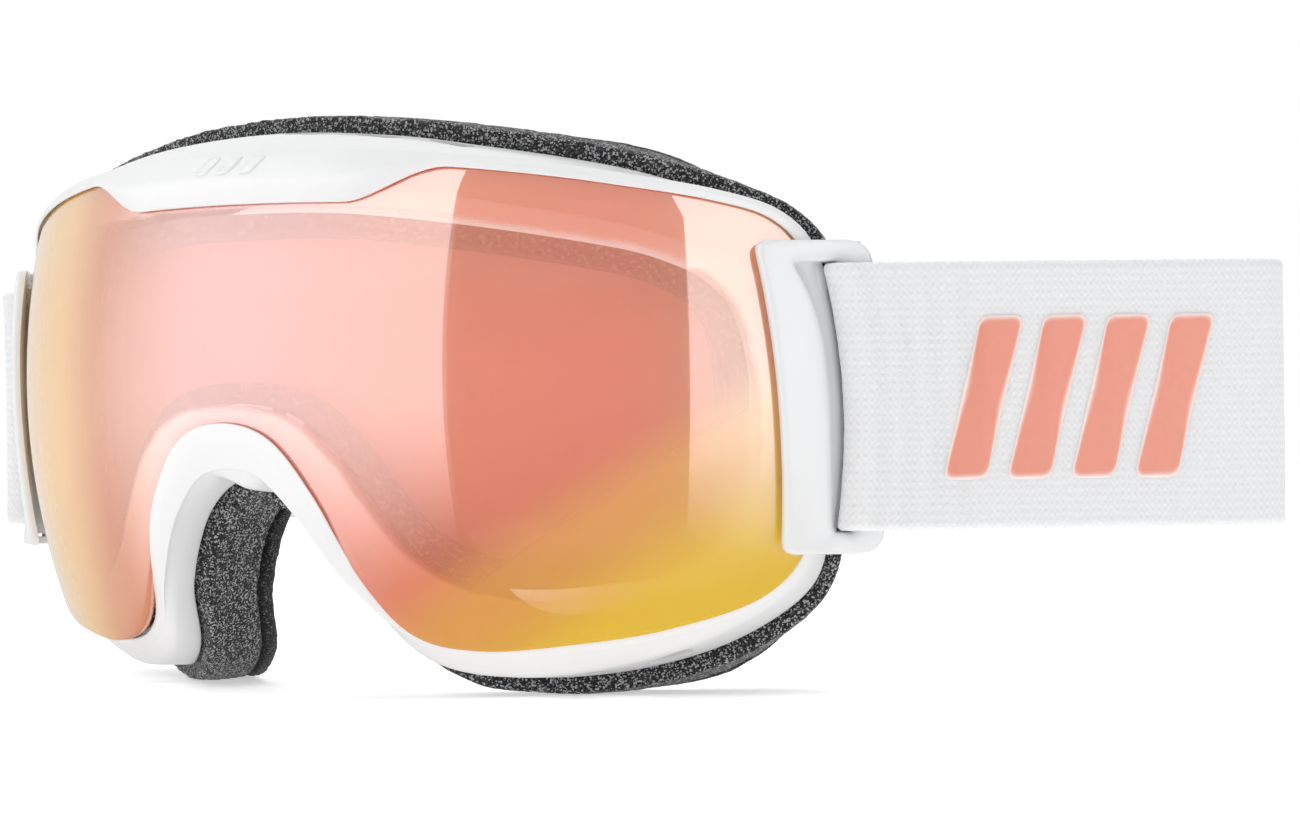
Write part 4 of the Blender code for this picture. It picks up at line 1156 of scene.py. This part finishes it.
def strap_band(name, route, step, side, bow=None, rib_span=None):
    """A knitted band along a route on the left, mirrored for the right, with its own UV in metres."""
    rows = resampled(route, step)
    profile = strap_profile(84)
    sections = []
    for i, (spot, far) in enumerate(rows):
        along = (rows[min(i + 1, len(rows) - 1)][0] - rows[max(i - 1, 0)][0]).normalized()
        aside = Vector((along.y, -along.x))
        ribs = 0.0
        if rib_span:
            ribs = ease(far, rib_span[0], rib_span[0] + 1.5) * (1 - ease(far, rib_span[1] - 4.0, rib_span[1]))
        section = []
        for across, through in profile:
            z = STRAP_MIDDLE_Z + across
            edge_wave = EDGE_WAVE * math.sin(far * math.tau / 1.3)
            edge_wave *= ease(abs(across), STRAP_WIDTH / 2 - 1.5, STRAP_WIDTH / 2)
            relief = knit_relief(far, across, ribs) if through > 0 else -knit_relief(far, across, 0.0)
            push = RUN[side] * bow(spot, z) if bow else Vector((0.0, 0.0))
            place = spot + aside * (through + relief) + push
            section.append(Vector((side * place.x, place.y, z + math.copysign(edge_wave, across))))
        sections.append(section)
    piece = new_piece(name, *loft_shape(sections, closed=False), ELASTIC, sharp=None)
    uv = piece.data.uv_layers.new(name="UVMap")
    for loop in piece.data.loops:
        row, column = divmod(loop.vertex_index, len(profile))
        uv.data[loop.index].uv = (rows[row][1] * MM, profile[column][0] * MM)
    return piece


def wrap_bow(spot, z):
    """Near the bracket the strap follows its bowed bar."""
    return bar_bow(z) * (1 - ease((spot - BAR).length, 3.5, 16.0))


def wrap_route(side):
    run, outward = RUN[side], OUTWARD[side]
    tail = FACE_START[side] - outward * LAYER_GAP
    first = STRAP_ANGLE[side] + math.pi / 2
    route = [tail + run * (SEWN_TAIL + 4.0), tail + run * 6.0, BAR - outward * WRAP_RADIUS + run * 1.5]
    return route + arc(BAR, WRAP_RADIUS, first, first + math.pi)


def make_strap_front(side, side_name):
    route = wrap_route(side) + fold_arc(side)
    piece = strap_band(f"strap_{side_name}_front", route, 0.5, side, wrap_bow, WRAP_RIB_SPAN)
    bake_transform(piece)
    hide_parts(f"strap_{side_name}_wrap")


PRINT_FROM, PRINT_PITCH, PRINT_WIDTH, PRINT_SLANT = 13.0, 9.6, 6.6, 6.0
PRINT_LOW, PRINT_HIGH, PRINT_HEIGHT = -12.6, 12.0, 0.55
# From the foot of a bar to its top: how far in, how high, and how pale.
PRINT_RINGS = (
    (0.0, -0.25, 1.0),
    (0.0, 0.15, 1.0),
    (0.12, 0.36, 1.0),
    (0.35, 0.5, 0.9),
    (0.7, PRINT_HEIGHT, 0.25),
    (1.1, PRINT_HEIGHT, 0.0),
    (2.4, PRINT_HEIGHT + 0.03, 0.0),
)
PRINT_CROWN_SHARE = 0.18


def make_strap_print(side, side_name):
    """Raised slanted bars on the strap's outer face, with rounded edges."""
    shapes, edges = [], []
    for number in range(4):
        start, lean = PRINT_FROM + number * PRINT_PITCH, PRINT_SLANT / 2
        corners = [Vector((start - lean, PRINT_LOW)), Vector((start + PRINT_WIDTH - lean, PRINT_LOW))]
        corners += [Vector((start + PRINT_WIDTH + lean, PRINT_HIGH)), Vector((start + lean, PRINT_HIGH))]
        loop = plan_loop(corners, (1.6,) * 4, 12)
        middle = sum(loop, Vector((0.0, 0.0))) / len(loop)
        rings = []
        for inset, height, paleness in PRINT_RINGS:
            ring = []
            for p in loop:
                q = p + Vector(((middle.x - p.x) * 1.6, middle.y - p.y)).normalized() * inset
                if inset == PRINT_RINGS[-1][0]:
                    q.x = middle.x + (p.x - middle.x) * PRINT_CROWN_SHARE
                flat = FACE_START[side] + RUN[side] * q.x + OUTWARD[side] * (STRAP_WALL / 2 + height)
                ring.append(Vector((side * flat.x, flat.y, STRAP_MIDDLE_Z + q.y)))
                edges.append(paleness)
            rings.append(ring)
        shapes.append(loft_shape(rings, closed=False))
    piece = new_piece(f"strap_{side_name}_print", *joined_shape(*shapes), PRINT, sharp=None)
    piece.data.attributes.new("edge", "FLOAT", "POINT").data.foreach_set("value", edges)
    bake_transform(piece)


REAR_LINE = fold_arc(1)[-1].y
TAB_RADIUS = STRAP_WALL / 2 + CLEARANCE + SLIDER_BAR / 2


def make_strap_rear(side, side_name):
    """The web across the back, with its end sewn round the far slider's bar."""
    layer = LAYER_GAP / 2 * side
    web = REAR_LINE + layer
    fold_end = fold_arc(side)[-1]
    bar_y = web + side * TAB_RADIUS
    route = [Vector((fold_end.x, REAR_LINE)), Vector((fold_end.x - 7.0, REAR_LINE + layer * 0.5))]
    route += [Vector((x, web)) for x in (fold_end.x - 14.0, 0.0, -(SLIDER_X - 3.0))]
    for turn in (math.pi * step / 24 for step in range(25)):
        bend = Vector((-math.sin(turn), -side * math.cos(turn))) * TAB_RADIUS
        route.append(Vector((-SLIDER_X, bar_y)) + bend)
    route.append(Vector((-(SLIDER_X - SEWN_TAB + 2.0), bar_y + side * TAB_RADIUS)))
    piece = strap_band(f"strap_{side_name}_rear", route, 0.9, side)
    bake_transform(piece)
    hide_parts(f"strap_{side_name}", f"strap_{side_name}_sewn_end")


# ---------------------------------------------------------------- sliders, pins and stitches


def softened_copy(node_name, name, width, material):
    """A copy of a CAD node's mesh, merged, with its edges bevelled."""
    source = bpy.data.objects[node_name]
    work = bmesh.new()
    work.from_mesh(source.data)
    bmesh.ops.remove_doubles(work, verts=work.verts, dist=1e-6)
    bmesh.ops.dissolve_limit(work, angle_limit=math.radians(2.0), verts=work.verts, edges=work.edges)
    mesh = bpy.data.meshes.new(name)
    work.to_mesh(mesh)
    work.free()
    mesh.materials.clear()
    mesh.materials.append(material)
    obj = new_object(name, mesh)
    bevel = obj.modifiers.new("bevel", "BEVEL")
    bevel.width, bevel.segments, bevel.limit_method = width * MM, 3, "ANGLE"
    mesh.shade_smooth()
    mesh.set_sharp_from_angle(angle=math.radians(SHARP_ANGLE))
    return obj


def make_sliders():
    for _, side_name in SIDES:
        piece = softened_copy(f"strap_slider_{side_name}", f"slider_buckle_{side_name}", 0.35, SLIDER_WHITE)
        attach(piece, f"slider_{side_name}")
        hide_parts(f"strap_slider_{side_name}")


def finish_pins():
    for level in ("upper", "lower"):
        for _, side_name in SIDES:
            obj = bpy.data.objects[f"hinge_pin_{level}_{side_name}"]
            obj.data.materials.clear()
            obj.data.materials.append(STEEL)


def stitch_tree():
    """Stitches along a line: short rounded threads at an even pitch."""
    tree = bpy.data.node_groups.new("stitch_row", "GeometryNodeTree")
    for label, kind, value in (
        ("Geometry", "NodeSocketGeometry", None),
        ("Pitch", "NodeSocketFloat", 0.0024),
        ("Stitch Length", "NodeSocketFloat", 0.0018),
        ("Thread Radius", "NodeSocketFloat", 0.0002),
        ("Material", "NodeSocketMaterial", None),
    ):
        item = tree.interface.new_socket(name=label, in_out="INPUT", socket_type=kind)
        if value is not None:
            item.default_value = value
    tree.interface.new_socket(name="Geometry", in_out="OUTPUT", socket_type="NodeSocketGeometry")
    start, end = tree.nodes.new("NodeGroupInput"), tree.nodes.new("NodeGroupOutput")
    line = node(tree, "GeometryNodeMeshToCurve", {0: start.outputs["Geometry"]})
    spots = node(tree, "GeometryNodeResampleCurve", {"Curve": line.outputs[0]}, mode="LENGTH")
    tree.links.new(start.outputs["Pitch"], spots.inputs["Length"])
    size = {"Radius": start.outputs["Thread Radius"], "Depth": start.outputs["Stitch Length"]}
    thread = node(tree, "GeometryNodeMeshCylinder", {"Vertices": 8, **size}).outputs[0]
    along = node(tree, "GeometryNodeInputTangent").outputs[0]
    turn = node(tree, "FunctionNodeAlignEulerToVector", {"Vector": along}, axis="Z").outputs[0]
    stitch = {"Points": spots.outputs[0], "Instance": thread, "Rotation": turn}
    placed = node(tree, "GeometryNodeInstanceOnPoints", stitch)
    real = node(tree, "GeometryNodeRealizeInstances", {0: placed.outputs[0]})
    paint = {"Geometry": real.outputs[0], "Material": start.outputs["Material"]}
    painted = node(tree, "GeometryNodeSetMaterial", paint)
    tree.links.new(painted.outputs[0], end.inputs[0])
    return tree


STITCHES = stitch_tree()
STITCH_HALF = 18.0
STITCH_ABOVE = 0.05
TAIL_STITCHES = (9.0, 13.0)
TAB_STITCHES = (SEWN_TAB - 4.5, SEWN_TAB - 8.0)


def stitch_rows(name, lines):
    """The stitches of several lines, each a run of points in the goggles' frame, as one plain mesh."""
    points, edges = [], []
    for line in lines:
        edges += [(len(points) + i, len(points) + i + 1) for i in range(len(line) - 1)]
        points += [world(p) for p in line]
    mesh = bpy.data.meshes.new(name)
    mesh.from_pydata(points, edges, [])
    obj = new_object(name, mesh)
    modifier = obj.modifiers.new("stitches", "NODES")
    modifier.node_group = STITCHES
    for item in STITCHES.interface.items_tree:
        if item.item_type == "SOCKET" and item.in_out == "INPUT" and item.name == "Material":
            modifier[item.identifier] = THREAD
    graph = bpy.context.evaluated_depsgraph_get()
    made = bpy.data.meshes.new_from_object(obj.evaluated_get(graph))
    obj.modifiers.clear()
    obj.data = made
    return obj


def make_stitches():
    """Two upright rows on each sewn tail by the brackets, and on each tab behind the sliders."""
    low, high = STRAP_MIDDLE_Z - STITCH_HALF, STRAP_MIDDLE_Z + STITCH_HALF
    above = STRAP_WALL / 2 + STITCH_ABOVE
    for side, side_name in SIDES:
        far_name = "right" if side > 0 else "left"
        lines = []
        for reach in TAIL_STITCHES:
            spot = FACE_START[side] - OUTWARD[side] * (LAYER_GAP + above) + RUN[side] * reach
            lines.append([(side * spot.x, spot.y, z) for z in (low, high)])
        piece = stitch_rows(f"tail_stitches_{side_name}", lines)
        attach(piece, f"outrigger_{side_name}")
        face = REAR_LINE + side * (LAYER_GAP / 2 + 2 * TAB_RADIUS + above)
        lines = [[(-side * (SLIDER_X - reach), face, z) for z in (low, high)] for reach in TAB_STITCHES]
        piece = stitch_rows(f"tab_stitches_{side_name}", lines)
        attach(piece, f"slider_{far_name}")


# ---------------------------------------------------------------- floor, light and camera, in metres

FLOOR_RADIUS = 2.5
FLOOR_GAP = 0.0004
LIGHT_REACH = 1.6
REAR_SHARE = 0.2
# First and last azimuth, low and high elevation, radiance, the share of the height over which the
# softbox fades in from below, whether reflections show it, and how bright its first end is.
SOFTBOXES = {
    "right_front_reflection": (-84.0, 5.6, -29.0, 44.0, 1.65, 0.36, True, REAR_SHARE),
    "right_rear_reflection": (-170.0, -84.0, -29.0, 44.0, 1.65 * REAR_SHARE, 0.36, True, 1.0),
    "left_reflection": (52.0, 128.0, -28.0, 44.0, 1.65, 0.38, True, 1.0),
    "right_front_fill": (-84.0, 5.6, -32.0, 44.0, 0.76, 0.34, False, 1.0),
    "right_rear_fill": (-170.0, -84.0, -36.0, 44.0, 1.15, 0.34, False, 1.0),
    "left_fill": (52.0, 128.0, -36.0, 44.0, 0.76, 0.34, False, 1.0),
}
DIM_END_SHARE = 0.35

def make_floor():
    """A wide white disc just under the goggles, which glows a little."""
    turns = [math.tau * t / 96 for t in range(96)]
    rim = [(FLOOR_RADIUS * math.cos(turn), FLOOR_RADIUS * math.sin(turn), -FLOOR_GAP) for turn in turns]
    mesh = bpy.data.meshes.new("floor")
    mesh.from_pydata(rim, [], [tuple(range(len(rim)))])
    floor = new_object("floor", mesh)
    material, _, shader, _ = new_material("floor_white", (0.95, 0.95, 0.95), 0.8, Emission_Strength=0.48)
    shader.inputs["Emission Color"].default_value = (1.0, 1.0, 1.0, 1.0)
    mesh.materials.append(material)
    floor.visible_glossy = False


def make_softbox(name, first, last, low, high, radiance, fade, glossy, end_share):
    """A tall softbox between two azimuths, in degrees from straight ahead towards the wearer's left.

    It shows either in reflections or in diffuse light, so that the two are balanced separately.
    Its end at the first azimuth can be dimmer than the rest.
    """
    turns = [math.radians(azimuth) for azimuth in (first, last)]
    ends = [Vector((math.sin(turn), -math.cos(turn), 0.0)) * LIGHT_REACH for turn in turns]
    middle = (ends[0] + ends[1]) / 2
    width = (ends[1] - ends[0]).length
    heights = [math.tan(math.radians(elevation)) * LIGHT_REACH for elevation in (low, high)]
    light = bpy.data.lights.new(name, "AREA")
    light.shape = "RECTANGLE"
    light.size, light.size_y = width, heights[1] - heights[0]
    light.energy = radiance * math.pi * light.size * light.size_y
    light.use_nodes = True
    tree = light.node_tree
    place = node(tree, "ShaderNodeNewGeometry").outputs
    upright = node(tree, "ShaderNodeSeparateXYZ", {0: place["Parametric"]}).outputs[1]
    rise = spread(tree, upright, 0.0, fade, 0.0, 1.0, "SMOOTHSTEP")
    along = (ends[1] - ends[0]).normalized()
    start = (APEX + ends[0]).dot(along)
    axes = {0: place["Position"], 1: tuple(along)}
    reach = node(tree, "ShaderNodeVectorMath", axes, operation="DOT_PRODUCT").outputs["Value"]
    sideways = spread(tree, reach, start, start + DIM_END_SHARE * width, end_share, 1.0, "SMOOTHSTEP")
    feed(tree, tree.nodes["Emission"], Strength=maths(tree, "MULTIPLY", rise, sideways))
    obj = new_object(name, light)
    obj.location = APEX + middle + Vector((0.0, 0.0, (heights[0] + heights[1]) / 2))
    obj.rotation_euler = (-Vector((middle.x, middle.y, 0.0))).to_track_quat("-Z", "Y").to_euler()
    obj.visible_camera = False
    obj.visible_glossy = glossy
    obj.visible_diffuse = not glossy


def make_overhead():
    """A wide panel above, which lights the faces that look up."""
    light = bpy.data.lights.new("overhead", "AREA")
    light.shape = "SQUARE"
    light.size = 1.6
    light.energy = 13.2
    obj = new_object("overhead", light)
    obj.location = APEX + Vector((0.0, 0.05, 1.3))
    obj.visible_camera = False
    obj.visible_glossy = False


def make_world():
    """Pale surroundings: white to the camera, dimmer as a light and in reflections, most from below."""
    sky = bpy.data.worlds.new("studio")
    bpy.context.scene.world = sky
    sky.use_nodes = True
    tree = sky.node_tree
    to_camera = node(tree, "ShaderNodeLightPath").outputs["Is Camera Ray"]
    place = node(tree, "ShaderNodeTexCoord").outputs["Generated"]
    upwards = node(tree, "ShaderNodeSeparateXYZ", {0: place}).outputs[2]
    dim = spread(tree, upwards, -0.6, -0.05, 0.18, 0.50)
    shader = tree.nodes["Background"]
    shader.inputs["Color"].default_value = (1.0, 1.0, 1.0, 1.0)
    feed(tree, shader, Strength=spread(tree, to_camera, 0.0, 1.0, dim, 1.0))


CAMERA_YAW, CAMERA_PITCH, CAMERA_ROLL = (math.radians(a) for a in (36.919, -0.066, -0.673))
CAMERA_ASIDE, CAMERA_UP, CAMERA_BACK = 66.08, -5.31, 656.45
LENS_LENGTH = 118.14


def make_camera():
    back = Vector((
        math.sin(CAMERA_YAW) * math.cos(CAMERA_PITCH),
        -math.cos(CAMERA_YAW) * math.cos(CAMERA_PITCH),
        math.sin(CAMERA_PITCH),
    ))
    level = Vector((math.cos(CAMERA_YAW), math.sin(CAMERA_YAW), 0.0))
    upright = back.cross(level)
    right = math.cos(CAMERA_ROLL) * level + math.sin(CAMERA_ROLL) * upright
    up = -math.sin(CAMERA_ROLL) * level + math.cos(CAMERA_ROLL) * upright
    data = bpy.data.cameras.new("camera")
    data.lens = LENS_LENGTH
    data.clip_start, data.clip_end = 0.01, 20.0
    camera = new_object("camera", data)
    place = world(CAMERA_ASIDE * right + CAMERA_UP * up + CAMERA_BACK * back)
    camera.matrix_world = Matrix.Translation(place) @ Matrix((right, up, back)).transposed().to_4x4()
    bpy.context.scene.camera = camera


make_lenses()
make_spacer()
make_seal()
make_frame()
make_hinge_lugs()
make_brow_mark()
make_foams()
for side, side_name in SIDES:
    make_bracket(side, side_name)
    make_strap_front(side, side_name)
    make_strap_rear(side, side_name)
make_strap_print(1, "left")
make_sliders()
finish_pins()
make_stitches()
make_floor()
for name, settings in SOFTBOXES.items():
    make_softbox(name, *settings)
make_overhead()
make_world()
make_camera()
bpy.context.scene.view_settings.view_transform = "Standard"
